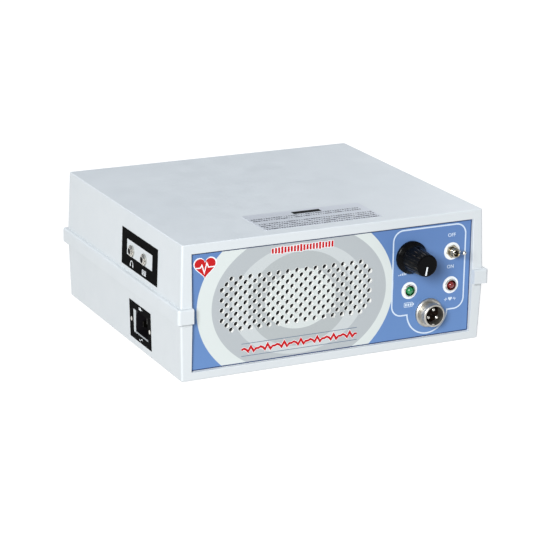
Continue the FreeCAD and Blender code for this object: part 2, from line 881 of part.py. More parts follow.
def make_toggle_body():
    front = panel_back + switch_plate
    well = rod(switch_bore_radius + switch_well_gap, V(switch_x, front, switch_z), Y, switch_body_depth / 2)
    return switch_block(front, switch_body_depth).cut(well)


def switch_back():
    return panel_back + switch_plate + switch_body_depth


def make_toggle_lugs():
    middle = switch_back() + lug_length / 2
    half = lug_thickness / 2
    return Part.makeCompound([middle_block(switch_x, middle, lug_width, lug_length,
                                           switch_z + step - half, switch_z + step + half)
                              for step in (-switch_lug_pitch, 0.0, switch_lug_pitch)])


def make_toggle_nut():
    return hexagon(switch_nut_flats, switch_bush_radius + screw_fit, on_panel(switch_x, switch_z), -Y,
                   switch_nut_thickness, switch_nut_turn)


def make_toggle_lever():
    tilt = math.radians(lever_tilt)
    along = V(0, -math.cos(tilt), math.sin(tilt))
    tip = lever_tip_radius
    bat = [(0, -lever_tail), (lever_tail_radius, -lever_tail), (lever_tail_radius, 0), (lever_neck_radius, 0),
           (lever_neck_radius, lever_neck_length), (tip, lever_taper_end), (tip, lever_reach - tip),
           (0, lever_reach - tip)]
    pivot = on_panel(switch_x, switch_z, switch_pivot)
    rounded = Part.makeSphere(tip, pivot + along * (lever_reach - tip))
    ball = Part.makeSphere(lever_ball_radius, pivot)
    return lathe(bat, pivot, along).fuse([rounded, ball]).removeSplitter()


# ---- Indicators ----
def make_led_bezels():
    tail = bezel_thickness - bezel_length
    throat = led_radius + screw_fit
    room = led_rim_radius + screw_fit
    profile = [(bezel_mouth_radius, bezel_thickness), (bezel_mouth_radius + bezel_lip, bezel_thickness),
               (bezel_radius, bezel_thickness - bezel_bevel), (bezel_radius, 0), (bezel_barrel_radius, 0),
               (bezel_barrel_radius, tail), (room, tail), (room, -bezel_bowl_depth),
               (throat, -bezel_bowl_depth), (throat, bezel_thickness - bezel_bowl_depth)]
    return Part.makeCompound([lathe(profile, on_panel(x, led_z), -Y) for x in led_x])


def make_led(x):
    rim_face = -bezel_bowl_depth
    rim_back = rim_face - led_rim_thickness
    dome_base = led_reach - led_radius
    profile = [(0, rim_back), (led_rim_radius, rim_back), (led_rim_radius, rim_face), (led_radius, rim_face),
               (led_radius, dome_base), (0, dome_base)]
    body = lathe(profile, on_panel(x, led_z), -Y)
    dome = Part.makeSphere(led_radius, on_panel(x, led_z, dome_base))
    half = led_leg_width / 2
    legs = []
    for side in (-1, 1):
        middle = x + side * led_leg_pitch / 2
        legs.append(block(middle - half, middle + half, face_y - rim_back, led_leg_end(),
                          led_z - half, led_z + half))
    return body.fuse([dome] + legs).removeSplitter()


def led_leg_end():
    return face_y + bezel_bowl_depth + led_rim_thickness + led_leg_length


def make_led_nuts():
    bore = bezel_barrel_radius + screw_fit
    return Part.makeCompound([hexagon(led_nut_flats, bore, V(x, panel_back, led_z), Y, led_nut_thickness)
                              for x in led_x])


# ---- Probe socket ----
def around(radius, angle, forward):
    turn = math.radians(angle)
    return on_panel(socket_x + radius * math.cos(turn), socket_z + radius * math.sin(turn), forward)


def make_probe_socket_shell():
    profile = [(socket_bore_radius, socket_reach), (socket_radius - socket_bevel, socket_reach),
               (socket_radius, socket_reach - socket_bevel), (socket_radius, socket_flange),
               (socket_flange_radius - socket_flange_bevel, socket_flange),
               (socket_flange_radius, socket_flange - socket_flange_bevel),
               (socket_flange_radius, 0), (socket_radius, 0), (socket_radius, -socket_tail),
               (socket_bore_radius, -socket_tail)]
    shell = lathe(profile, on_panel(socket_x, socket_z), -Y)
    key = block(-socket_key_width / 2, socket_key_width / 2, socket_bevel - socket_reach,
                -socket_insert_face - socket_bevel, socket_bore_radius - socket_key_depth,
                (socket_bore_radius + socket_radius) / 2)
    turn = FreeCAD.Rotation(Y, 90.0 - socket_key_angle)
    key.Placement = FreeCAD.Placement(on_panel(socket_x, socket_z), turn)
    return shell.fuse(key).removeSplitter()


def socket_pin_places():
    return [socket_pin_angle + 120 * number for number in range(3)]


def make_probe_socket_insert():
    radius = socket_bore_radius - snug_fit
    length = socket_insert_face + socket_tail - socket_insert_inset
    disc = rod(radius, on_panel(socket_x, socket_z, socket_insert_face), Y, length)
    holes = []
    for angle in socket_pin_places():
        holes.append(rod(socket_pin_radius + snug_fit, around(socket_pin_circle, angle, socket_reach), Y,
                         socket_reach + socket_tail))
    return disc.cut(holes)


def make_probe_socket_pins():
    pins = []
    for angle in socket_pin_places():
        back = socket_tail + socket_pin_tail
        pin = rod(socket_pin_radius, around(socket_pin_circle, angle, -back), -Y, back + socket_pin_reach)
        tip = [e for e in pin.Edges if e.BoundBox.YMax < face_y - socket_pin_reach + 0.01]
        pins.append(pin.makeFillet(socket_pin_tip, tip))
    return Part.makeCompound(pins)


def make_probe_socket_nut():
    return hexagon(socket_nut_flats, socket_radius + screw_fit, V(socket_x, panel_back, socket_z), Y,
                   socket_nut_thickness)


# ---- Jacks ----
def jack_faces():
    """Where a jack's nut meets the outside of the drafted wall, and its body the inside."""
    outer = side_x(jack_z - jack_nut_radius, UPPER)
    inner = side_x(jack_z + jack_body / 2, UPPER) + wall
    return outer, inner


def make_jack(y):
    outer, inner = jack_faces()
    mouth = outer - jack_nut_thickness - jack_bush_proud
    body = block(inner, inner + jack_body_depth, y - jack_body / 2, y + jack_body / 2,
                 jack_z - jack_body / 2, jack_z + jack_body / 2)
    bush = rod(jack_bush_radius, V(mouth, y, jack_z), X, inner - mouth)
    bush = bush.makeChamfer(jack_bush_bevel, [e for e in bush.Edges if e.BoundBox.XMax < mouth + 0.01])
    back = inner + jack_body_depth
    lugs = []
    for step in (-jack_lug_pitch, 0.0, jack_lug_pitch):
        lugs.append(middle_block(back + lug_length / 2, y + step, lug_length, jack_lug_width,
                                 jack_z - lug_thickness / 2, jack_z + lug_thickness / 2))
    bore = rod(jack_bore_radius, V(mouth, y, jack_z), X, jack_bore_depth)
    return body.fuse([bush] + lugs).removeSplitter().cut(bore)


def make_jack_nuts():
    """Round nuts with four driver slots in the face."""
    outer = jack_faces()[0]
    bore = jack_bush_radius + screw_fit
    bevel = jack_nut_bevel
    nuts = []
    for y in jack_y:
        profile = [(bore, 0), (jack_nut_radius, 0), (jack_nut_radius, jack_nut_thickness - bevel),
                   (jack_nut_radius - bevel, jack_nut_thickness), (bore, jack_nut_thickness)]
        nut = lathe(profile, V(outer, y, jack_z), -X)
        slots = []
        for turn in (0, 90):
            slot = block(-jack_nut_slot_width / 2, jack_nut_slot_width / 2, -jack_nut_radius, jack_nut_radius,
                         jack_nut_thickness - jack_nut_slot_depth, jack_nut_thickness)
            spin = FreeCAD.Rotation(Z, -X).multiply(FreeCAD.Rotation(Z, turn))
            slot.Placement = FreeCAD.Placement(V(outer, y, jack_z), spin)
            slots.append(slot)
        nuts.append(nut.cut(slots))
    return Part.makeCompound(nuts)


# ---- Labels ----
def side_sheet(y0, y1, z0, z1, lean):
    """A thin sheet stuck to the left wall, following its draft."""
    skin = case_form(z0, z1, lean, label_thickness).cut(case_form(z0, z1, lean))
    return skin.common(block(-case_width, 0, y0, y1, z0, z1))


def make_jack_label():
    back, front = jack_y
    sheet = side_sheet(front - jack_label_front, back + jack_label_back, jack_z - jack_label_half_height,
                       jack_z + jack_label_half_height, UPPER)
    window = block(-case_width, 0, front - jack_window_front, back + jack_window_back,
                   jack_z - jack_window_below, jack_z + jack_window_above)
    return sheet.cut(window)


def make_inlet_label():
    sheet = side_sheet(inlet_y - inlet_label_front, inlet_y + inlet_label_back, inlet_z - inlet_label_below,
                       inlet_z + inlet_label_above, LOWER)
    hole = block(-case_width, 0, inlet_y - inlet_hole_width / 2, inlet_y + inlet_hole_width / 2,
                 inlet_z - inlet_hole_height / 2, inlet_z + inlet_hole_height / 2)
    screws = [rod(inlet_screw_radius + screw_fit, V(-case_width, y, inlet_z), X, case_width)
              for y in inlet_screw_places()]
    return sheet.cut([hole] + screws)


def make_top_label():
    front = front_y + top_label_distance
    sheet = block(top_label_x - top_label_width / 2, top_label_x + top_label_width / 2, front,
                  front + top_label_depth, case_height, case_height + label_thickness)
    return sheet.makeFillet(top_label_corner, upright_edges(sheet))


# ---- Mains inlet ----
def inlet_seat():
    return -half_size(case_width, inlet_z, LOWER, -inlet_wall)


def make_mains_inlet():
    seat = inlet_seat()
    back = seat + inlet_body_depth
    flange = middle_block(seat + inlet_flange / 2, inlet_y, inlet_flange, inlet_flange_width,
                          inlet_z - inlet_flange_height / 2, inlet_z + inlet_flange_height / 2)
    body = middle_block((seat + inlet_flange + back) / 2, inlet_y, inlet_body_depth - inlet_flange,
                        inlet_body_width, inlet_z - inlet_body_height / 2, inlet_z + inlet_body_height / 2)
    half = inlet_cavity_width / 2
    high = inlet_cavity_height / 2
    cut = inlet_cavity_chamfer
    outline = [V(seat, inlet_y + y, inlet_z + z) for y, z in
               ((-half, -high), (half, -high), (half, high - cut), (half - cut, high), (cut - half, high),
                (-half, high - cut))]
    cavity = Part.Face(Part.makePolygon(outline + outline[:1])).extrude(V(inlet_cavity_depth, 0, 0))
    tools = [cavity]
    for y in inlet_screw_places():
        tools.append(rod(inlet_screw_radius + screw_fit, V(seat, y, inlet_z), X, inlet_flange))
    for y, z in blade_places():
        tools.append(blade(y, z, screw_fit))
    return flange.fuse(body).removeSplitter().cut(tools)


def blade_places():
    """Live, earth and neutral, from front to back."""
    return [(inlet_y - blade_spacing / 2, inlet_z - blade_rise), (inlet_y, inlet_z + blade_rise),
            (inlet_y + blade_spacing / 2, inlet_z - blade_rise)]


def blade(y, z, grow):
    back = inlet_seat() + inlet_body_depth
    front = inlet_seat() + inlet_cavity_depth - blade_length
    return block(front, back + blade_tail, y - blade_thickness / 2 - grow, y + blade_thickness / 2 + grow,
                 z - blade_height / 2 - grow, z + blade_height / 2 + grow)


def make_inlet_blades():
    return Part.makeCompound([blade(y, z, 0) for y, z in blade_places()])


def make_inlet_screws():
    """Dome-headed screws through the wall and the flange, each with a nut."""
    head_seat = side_x(inlet_z + inlet_head_radius, LOWER) - label_thickness
    dome = (inlet_head_radius ** 2 + inlet_head_height ** 2) / (2 * inlet_head_height)
    end = inlet_seat() + inlet_flange + m3_nut_thickness + inlet_screw_radius
    screws = []
    for y in inlet_screw_places():
        seat = V(head_seat, y, inlet_z)
        face = V(head_seat - inlet_head_height, y, inlet_z)
        ball = Part.makeSphere(dome, face + X * dome)
        head = ball.common(rod(inlet_head_radius, seat, -X, inlet_head_height))
        shank = rod(inlet_screw_radius, seat, X, end - head_seat)
        screws.append(head.fuse(shank).cut(cross_recess(face, X)))
    return Part.makeCompound(screws)


def make_inlet_nuts():
    seat = inlet_seat() + inlet_flange
    return Part.makeCompound([hexagon(m3_nut_flats, inlet_screw_radius + screw_fit, V(seat, y, inlet_z), X,
                                      m3_nut_thickness) for y in inlet_screw_places()])


# ---- Speaker ----
def speaker_front():
    return panel_back + cloth_thickness


def speaker_point(back):
    return V(grille_x, speaker_front() + back, grille_z)


def speaker_outline(thickness, inner):
    """A round plate with four ears for the panel's studs."""
    solid = [rod(speaker_radius, V(0, 0, 0), Z, thickness)]
    holes = [rod(inner, V(0, 0, 0), Z, thickness)]
    for x, y in four(stud_offset, stud_offset):
        solid.append(rod(speaker_ear_radius, V(x, y, 0), Z, thickness))
        holes.append(rod(stud_radius + screw_fit, V(x, y, 0), Z, thickness))
    return fuse(solid).cut(holes)


def make_speaker_gasket():
    gasket = speaker_outline(gasket_thickness, speaker_radius - gasket_width)
    gasket.Placement = FreeCAD.Placement(speaker_point(0), FreeCAD.Rotation(Z, Y))
    return gasket


def make_speaker_basket():
    """A pressed bowl behind a flat rim, open between its arms."""
    rim = speaker_radius - gasket_width
    plate = speaker_outline(speaker_plate, rim)
    back = basket_depth
    neck = basket_back_radius
    hub = neck - basket_hub_width
    bowl = lathe([(rim, 0), (rim + basket_wall, 0), (rim + basket_wall, speaker_plate),
                  (neck + basket_wall, back), (hub, back), (hub, back - basket_wall),
                  (neck, back - basket_wall), (rim, speaker_plate)], V(0, 0, 0), Z)
    half = basket_window_width / 2
    windows = []
    for number in range(basket_window_count):
        window = block(basket_window_inner, speaker_radius, -half, half, speaker_plate + basket_window_inset,
                       back - basket_window_inset)
        window.rotate(V(0, 0, 0), Z, 360 * number / basket_window_count)
        windows.append(window)
    basket = plate.fuse(bowl).removeSplitter().cut(windows)
    basket.Placement = FreeCAD.Placement(speaker_point(gasket_thickness), FreeCAD.Rotation(Z, Y))
    return basket


def magnet_face():
    return gasket_thickness + basket_depth


def make_speaker_magnet():
    """Ring magnet, its plates and the pole, with the slot that the coil runs in."""
    slot_in = coil_radius - coil_wall - coil_gap
    slot_out = coil_radius + coil_gap
    slot_floor = magnet_depth - magnet_slot_floor
    inner = magnet_radius - magnet_plate_step
    outer = magnet_radius
    back_plate = magnet_depth - magnet_plate
    body = [(0, 0), (slot_in, 0), (slot_in, slot_floor), (slot_out, slot_floor), (slot_out, 0), (inner, 0),
            (inner, magnet_plate), (outer, magnet_plate), (outer, back_plate), (inner, back_plate),
            (inner, magnet_depth), (0, magnet_depth)]
    return lathe(body, speaker_point(magnet_face()), Y)


def make_speaker_surround():
    """A raised roll glued to the basket's rim and reaching in to the cone."""
    inner = cone_rim_radius + surround_gap
    outer = speaker_radius - gasket_width
    face = gasket_thickness
    crest = face - surround_rise
    foot = face + surround_step
    step = surround_slope + surround_gap
    roll = [(outer, face), (outer - surround_slope, crest), (inner + surround_slope, crest), (inner, foot),
            (inner, foot + surround_wall), (inner + step, crest + surround_wall),
            (outer - step, crest + surround_wall), (outer - surround_step, face)]
    return lathe(roll, speaker_point(0), Y)


def cone_front():
    return gasket_thickness + cone_set_back


def coil_front():
    return cone_front() + cone_depth - coil_rise


def make_speaker_cone():
    front = cone_front()
    back = front + cone_depth
    neck = coil_radius + cone_neck
    rim = cone_rim_radius
    profile = [(rim, front), (neck, back), (neck, back + cone_wall), (rim, front + cone_wall)]
    return lathe(profile, speaker_point(0), Y)


def make_speaker_coil():
    """The former that joins the cone to the magnet's slot."""
    end = magnet_face() + magnet_depth - magnet_slot_floor - coil_end_gap
    return ring(coil_radius, coil_radius - coil_wall, speaker_point(coil_front()), Y, end - coil_front())


def make_speaker_dust_cap():
    """A shallow dome over the coil."""
    crown = coil_front() - dust_cap_height
    bulge = (coil_radius ** 2 + dust_cap_height ** 2) / (2 * dust_cap_height)
    centre = speaker_point(crown + bulge)
    dome = Part.makeSphere(bulge, centre).cut(Part.makeSphere(bulge - dust_cap_wall, centre))
    return dome.common(rod(coil_radius, speaker_point(crown), Y, dust_cap_height))


def make_speaker_nuts():
    seat = speaker_front() + gasket_thickness + speaker_plate
    bore = stud_radius + screw_fit
    return Part.makeCompound([hexagon(m3_nut_flats, bore, V(x, seat, z), Y, m3_nut_thickness)
                              for x, z in stud_places()])


# ---- Main board ----
def make_main_board():
    board = middle_block(board_x, board_y, board_width, board_depth, floor + board_lift, board_top)
    holes = [rod(small_screw_radius + screw_fit, V(x, y, 0), Z, case_height) for x, y in board_boss_places()]
    return board.cut(holes)


def make_board_screws():
    return Part.makeCompound([small_screw(x, y, board_top, floor + screw_point_gap)
                              for x, y in board_boss_places()])


def make_board_chips():
    chips = []
    for step_x, step_y, length in chip_sizes:
        x = board_x + step_x
        y = board_y + step_y
        body = middle_block(x, y, length, chip_depth, board_top + chip_low, board_top + chip_high)
        legs = middle_block(x, y, length - 2 * chip_leg_inset, chip_leg_span, board_top,
                            board_top + chip_leg_height)
        chips.append(body.fuse(legs).removeSplitter())
    return Part.makeCompound(chips)


def make_board_capacitors():
    cans = []
    for step_x, step_y, radius, height in can_sizes:
        can = rod(radius, V(board_x + step_x, board_y + step_y, board_top), Z, height)
        cans.append(can.makeChamfer(can_bevel, edges_at_height(can, board_top + height)))
    return Part.makeCompound(cans)


def header(name):
    """The middle of a plug-in header's top."""
    step_x, step_y = header_sizes[name]
    return V(board_x + step_x, board_y + step_y, header_top)


def make_board_headers():
    tops = [header(name) for name in header_sizes]
    return Part.makeCompound([middle_block(top.x, top.y, header_width, header_depth, board_top, header_top)
                              for top in tops])


# ---- Transformer ----
def make_transformer_core():
    low = floor + pad_height
    high = low + core_height
    core = middle_block(transformer_x, transformer_y, core_width, core_depth, low, high)
    windows = []
    for side in (-1, 1):
        x = transformer_x + side * core_width / 4
        windows.append(middle_block(x, transformer_y, core_leg, core_depth, low + core_leg, high - core_leg))
    return core.cut(windows)


def make_transformer_coil():
    """The winding round the core's middle leg."""
    low = floor + pad_height + core_leg
    high = floor + pad_height + core_height - core_leg
    outer = middle_block(transformer_x, transformer_y, core_width / 2 + core_leg, winding_depth, low, high)
    leg = middle_block(transformer_x, transformer_y, core_width / 2 - core_leg, core_depth, low, high)
    return outer.cut(leg)


def strap_over(x, y, span, width, top):
    """A sheet strap over something, with a foot each side and its screw hole."""
    low = floor + pad_height
    outer = span / 2 + strap_thickness
    over = middle_block(x, y, 2 * outer, width, low, top + strap_thickness)
    feet = middle_block(x, y, 2 * (outer + strap_foot), width, low, low + strap_thickness)
    strap = over.fuse(feet).removeSplitter().cut(middle_block(x, y, span, width, low, top))
    holes = []
    for side in (-1, 1):
        hole_x = x + side * (outer + strap_foot / 2)
        holes.append(rod(small_screw_radius + screw_fit, V(hole_x, y, low), Z, strap_thickness))
    return strap.cut(holes)


def make_transformer_strap():
    core_top = floor + pad_height + core_height
    return strap_over(transformer_x, transformer_y, core_width, core_strap_width, core_top)


def strap_screws(places):
    seat = floor + pad_height + strap_thickness
    return Part.makeCompound([small_screw(x, y, seat, floor - blind_hole_depth) for x, y in places])


# ---- Battery ----
def make_battery():
    case = middle_block(battery_x, battery_y, battery_width, battery_depth, floor, battery_top)
    return case.makeFillet(battery_corner, upright_edges(case))


def tab_places():
    return [(battery_x + side * tab_offset, battery_y - tab_forward) for side in (-1, 1)]


def battery_tab(x, y):
    return middle_block(x, y, tab_width, tab_thickness, battery_top, battery_top + tab_height)


def make_battery_terminals():
    return Part.makeCompound([battery_tab(x, y) for x, y in tab_places()])


def make_battery_strap():
    return strap_over(battery_x, battery_y, battery_width, battery_strap_width, battery_top)


# ---- Leads ----
def lead(radius, points):
    """A round lead along straight runs joined by tangent arcs."""
    edges = []
    start = points[0]
    for before, corner, after in zip(points, points[1:], points[2:]):
        run_in = corner - before
        run_out = after - corner
        setback = bend_share * min(run_in.Length, run_out.Length)
        run_in.normalize()
        run_out.normalize()
        half_turn = run_in.getAngle(run_out) / 2
        bend = setback / math.tan(half_turn)
        inward = run_out - run_in
        inward.normalize()
        middle = corner + inward * (bend / math.cos(half_turn) - bend)
        edges.append(Part.LineSegment(start, corner - run_in * setback).toShape())
        edges.append(Part.Arc(corner - run_in * setback, middle, corner + run_out * setback).toShape())
        start = corner + run_out * setback
    edges.append(Part.LineSegment(start, points[-1]).toShape())
    section = Part.Wire([Part.makeCircle(radius, points[0], points[1] - points[0])])
    return Part.Wire(edges).makePipeShell([section], True, False)


def lead_to_header(radius, start, way, name, step=0.0):
    """A lead that leaves a lug straight along a way, then comes down on its header."""
    leave, over = lead_runs[name]
    landing = header(name) + X * step
    return lead(radius, [start, start + way * leave, landing + Z * over, landing])


def make_signal_leads():
    """Speaker, volume control, jacks and probe socket to the board."""
    leads = []
    plate_back = speaker_front() + gasket_thickness + speaker_plate
    rim = speaker_radius - (gasket_width - basket_wall) / 2
    leads.append(lead_to_header(lead_radius, V(grille_x, plate_back, grille_z - rim), Y, "speaker"))
    lug_back = panel_back + pot_lug_seat + lug_thickness
    lug = V(knob_x, lug_back, knob_z - pot_radius - lug_length / 2)
    leads.append(lead_to_header(lead_radius, lug, Y, "volume"))
    lug_end = jack_faces()[1] + jack_body_depth + lug_length
    for y, side in zip(jack_y, (1, -1)):
        step = side * header_steps["jacks"]
        leads.append(lead_to_header(lead_radius, V(lug_end, y, jack_z), X, "jacks", step))
    for angle, side in zip(socket_pin_places(), (0, -1, 1)):
        pin = around(socket_pin_circle, angle, -socket_tail - socket_pin_tail)
        leads.append(lead_to_header(probe_lead_radius, pin, Y, "probe", side * header_steps["probe"]))
    return Part.makeCompound(leads)


def battery_lead(place, bend, step):
    """A lead with a push-on receptacle over its tab."""
    x, y = place
    low = battery_top + receptacle_lift
    start = V(x, y, low + receptacle_height)
    receptacle = middle_block(x, y, receptacle_width, receptacle_depth, low, start.z)
    landing = header("power") + X * step
    wire = lead(lead_radius, [start, start + Z * battery_lead_rise, start + V(*bend),
                              landing + Z * battery_lead_over, landing])
    return receptacle.cut(battery_tab(x, y)).fuse(wire).removeSplitter()


def make_power_leads():
    """Battery, switch, lamps and the transformer's low-voltage side to the board."""
    step = header_steps["power"]
    leads = []
    for place, bend, side in zip(tab_places(), battery_lead_bends, (-1, 0)):
        leads.append(battery_lead(place, bend, side * step))
    lug = V(switch_x, switch_back() + lug_length, switch_z)
    leads.append(lead_to_header(lead_radius, lug, Y, "power", step))
    for x, side in zip(led_x, (-1, 1)):
        legs = V(x, led_leg_end(), led_z)
        leads.append(lead_to_header(led_leg_pitch / 2, legs, Y, "lamps", side * header_steps["lamps"]))
    winding_z = floor + pad_height + core_height / 2
    winding = V(transformer_x + core_leg, transformer_y - winding_depth / 2, winding_z)
    leads.append(lead_to_header(lead_radius, winding, -Y, "supply"))
    return Part.makeCompound(leads)


def make_mains_leads():
    """Live and neutral to the transformer's winding, and earth to its core."""
    back = inlet_seat() + inlet_body_depth + blade_tail
    live, earth, neutral = [V(back, y, z) for y, z in blade_places()]
    winding_z = floor + pad_height + 1.5 * core_leg
    winding = V(transformer_x, transformer_y - winding_depth / 2, winding_z)
    core_x = transformer_x - core_width / 2 + core_leg / 2
    core = V(core_x, transformer_y - core_depth / 2, winding_z + core_leg)
    starts = (live, neutral, earth)
    bends = ([], [], [earth + V(*earth_lead_bend)])
    ends = (winding + X * core_leg, winding - X * core_leg, core)
    leads = []
    for start, leave, bend, arrive, end in zip(starts, mains_lead_exits, bends, mains_lead_ends, ends):
        leads.append(lead(lead_radius, [start, start + X * leave] + bend + [end - Y * arrive, end]))
    return Part.makeCompound(leads)


PIECES = {
    "bottom_shell": make_bottom_shell,
    "top_shell": make_top_shell,
    "case_screws": make_case_screws,
    "front_panel": make_front_panel,
    "front_overlay": make_front_overlay,
    "grille_cloth": make_grille_cloth,
    "volume_knob": make_volume_knob,
    "knob_pointer": make_knob_pointer,
    "knob_grub_screw": make_knob_grub_screw,
    "volume_shaft": make_volume_shaft,
    "volume_pot": make_volume_pot,
    "pot_nut": make_pot_nut,
    "pot_lugs": make_pot_lugs,
    "toggle_bushing": make_toggle_bushing,
    "toggle_body": make_toggle_body,
    "toggle_lugs": make_toggle_lugs,
    "toggle_nut": make_toggle_nut,
    "toggle_lever": make_toggle_lever,
    "led_bezels": make_led_bezels,
    "led_nuts": make_led_nuts,
    "green_led": lambda: make_led(led_x[0]),
    "red_led": lambda: make_led(led_x[1]),
    "probe_socket_shell": make_probe_socket_shell,
    "probe_socket_insert": make_probe_socket_insert,
    "probe_socket_pins": make_probe_socket_pins,
    "probe_socket_nut": make_probe_socket_nut,
    "earphone_jack": lambda: make_jack(jack_y[0]),
    "tape_jack": lambda: make_jack(jack_y[1]),
    "jack_nuts": make_jack_nuts,
    "jack_label": make_jack_label,
    "inlet_label": make_inlet_label,
    "top_label": make_top_label,
    "mains_inlet": make_mains_inlet,
    "inlet_blades": make_inlet_blades,
    "inlet_screws": make_inlet_screws,
    "inlet_nuts": make_inlet_nuts,
    "speaker_gasket": make_speaker_gasket,
    "speaker_basket": make_speaker_basket,
    "speaker_magnet": make_speaker_magnet,
    "speaker_surround": make_speaker_surround,
    "speaker_cone": make_speaker_cone,
    "speaker_coil": make_speaker_coil,
    "speaker_dust_cap": make_speaker_dust_cap,
    "speaker_nuts": make_speaker_nuts,
    "main_board": make_main_board,
    "board_screws": make_board_screws,
    "board_chips": make_board_chips,
    "board_capacitors": make_board_capacitors,
    "board_headers": make_board_headers,
    "transformer_core": make_transformer_core,
    "transformer_coil": make_transformer_coil,
    "transformer_strap": make_transformer_strap,
    "transformer_screws": lambda: strap_screws(transformer_screw_places()),
    "battery": make_battery,
    "battery_terminals": make_battery_terminals,
    "battery_strap": make_battery_strap,
    "battery_screws": lambda: strap_screws(battery_screw_places()),
    "signal_leads": make_signal_leads,
    "power_leads": make_power_leads,
    "mains_leads": make_mains_leads,
}

os.makedirs("parts", exist_ok=True)
for name, make in PIECES.items():
    make().exportStep("parts/" + name + ".step")
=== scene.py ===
import bmesh
import bpy
import math
from mathutils import Matrix, Vector


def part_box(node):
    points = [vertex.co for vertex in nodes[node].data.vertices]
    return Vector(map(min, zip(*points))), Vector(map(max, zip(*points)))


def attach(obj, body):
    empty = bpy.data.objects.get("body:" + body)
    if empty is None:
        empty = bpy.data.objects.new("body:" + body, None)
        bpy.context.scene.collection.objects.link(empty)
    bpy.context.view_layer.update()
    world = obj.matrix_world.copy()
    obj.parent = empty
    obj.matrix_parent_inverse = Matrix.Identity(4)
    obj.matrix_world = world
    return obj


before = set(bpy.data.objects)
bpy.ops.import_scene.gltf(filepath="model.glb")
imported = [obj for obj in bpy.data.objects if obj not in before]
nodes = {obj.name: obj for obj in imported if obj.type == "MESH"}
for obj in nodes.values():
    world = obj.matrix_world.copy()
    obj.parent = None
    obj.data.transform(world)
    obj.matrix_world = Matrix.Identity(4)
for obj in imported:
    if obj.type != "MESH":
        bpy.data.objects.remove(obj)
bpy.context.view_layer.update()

# A desk-top fetal doppler monitor in a pale moulded case, with a printed and perforated front panel.
# Sizes and places are in millimetres, and become metres where a mesh is made.

MM = 0.001


# ---- Places taken from the frame ----
def low_corner(node):
    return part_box(node)[0] / MM


def high_corner(node):
    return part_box(node)[1] / MM


def middle(node):
    return (low_corner(node) + high_corner(node)) / 2


FILM_Y = low_corner("front_overlay").y      # the printed film's face
KNOB = middle("volume_pot")
SWITCH = middle("toggle_nut")
SOCKET = middle("probe_socket_nut")
GREEN = middle("green_led")
RED = middle("red_led")
SPEAKER = middle("speaker_magnet")
WALL_DRAFT = 0.031          # lean of the case's sides, as a slope
INK = 0.04                  # thickness of one printed layer

# ---- Making materials ----
COLOUR_A, COLOUR_B = 6, 7                           # the sockets of a Mix node that take colours
NOISE_SPREAD = {"From Min": 0.3, "From Max": 0.7}   # where nearly all of a noise's values lie
FINE_RELIEF = 0.02 * MM                             # height of the finest marks in a finish, in metres
WAVE_BANDS = 3.2                                    # bands that a wave texture puts in one unit


def linear(hex_colour):
    """An sRGB hex value as a linear colour."""
    channels = [int(hex_colour[start:start + 2], 16) / 255 for start in (1, 3, 5)]
    return tuple(c / 12.92 if c <= 0.04045 else ((c + 0.055) / 1.055) ** 2.4 for c in channels) + (1.0,)


def add(owner, kind, sockets=None, **settings):
    """Adds a node with its settings to a tree, or to the tree of a material or world.

    A socket, by name or number, takes a value, a hex colour, an output, or a node, which gives its first
    output that is in use.
    """
    tree = getattr(owner, "node_tree", owner)
    node = tree.nodes.new(kind if "Node" in kind else "ShaderNode" + kind)
    for name, value in settings.items():
        setattr(node, name, value)
    for name, value in (sockets or {}).items():
        if isinstance(value, bpy.types.Node):
            value = next(output for output in value.outputs if output.enabled)
        if isinstance(value, bpy.types.NodeSocket):
            tree.links.new(value, node.inputs[name])
        else:
            node.inputs[name].default_value = linear(value) if isinstance(value, str) else value
    return node


def start_material(name):
    material = bpy.data.materials.new(name)
    material.use_nodes = True
    material.node_tree.nodes.clear()
    return material


def start_pattern(name):
    """A material and its piece's own coordinates in millimetres: a pattern's scale is one over its size."""
    material = start_material(name)
    coordinates = add(material, "TexCoord")
    return material, add(material, "VectorMath", {
        0: coordinates.outputs["Object"], "Scale": 1 / MM}, operation="SCALE")


def finish_material(material, sockets):
    shader = add(material, "BsdfPrincipled", sockets)
    add(material, "OutputMaterial", {"Surface": shader})
    return material


# ---- Materials of the case and the panel ----
def moulded_abs(name, pale, deep):
    """Moulded ABS or polystyrene: satin, with a faint eroded grain and slow drifts of tone and gloss."""
    drift_size, handling_size, grain_size = 90, 16, 0.9
    material, place = start_pattern(name)
    drift = add(material, "TexNoise", {"Vector": place, "Scale": 1 / drift_size, "Detail": 2.0})
    handling = add(material, "TexNoise", {
        "Vector": place, "Scale": 1 / handling_size, "Detail": 5.0, "Roughness": 0.6})
    grain = add(material, "TexNoise", {"Vector": place, "Scale": 1 / grain_size, "Detail": 2.0})
    tone = add(material, "Mix", {0: drift, COLOUR_A: pale, COLOUR_B: deep}, data_type="RGBA")
    gloss = add(material, "MapRange", {
        "Value": handling, "From Min": 0.35, "From Max": 0.7, "To Min": 0.36, "To Max": 0.5})
    bump = add(material, "Bump", {"Height": grain, "Strength": 0.3, "Distance": 0.03 * MM})
    return finish_material(material, {"Base Color": tone, "Roughness": gloss, "IOR": 1.53, "Normal": bump})


# The film's artwork, from the back of the print to its front: the field's height and blue at its bottom
# and its top (the bottom's paler blue is painted light from below), and each oval's colour, centre and half
# sizes
FILM_FIELD = ((6.0, "#6286BA"), (86.0, "#5C7EB3"))
FILM_OVALS = (
    ("#D3DAD8", (-28.0, 46.0), (72.8, 59.4)),
    ("#B0B6B9", (-25.5, 46.0), (64.6, 49.3)),
    ("#C4CACB", (-26.0, 46.0), (49.8, 38.2)),
    ("#AEB4B5", (-25.5, 46.0), (38.0, 32.8)),
    ("#CED5D3", (-25.5, 46.0), (26.0, 20.8)),
)
PRINT_EDGE = 0.12           # how softly one colour of the artwork meets the next


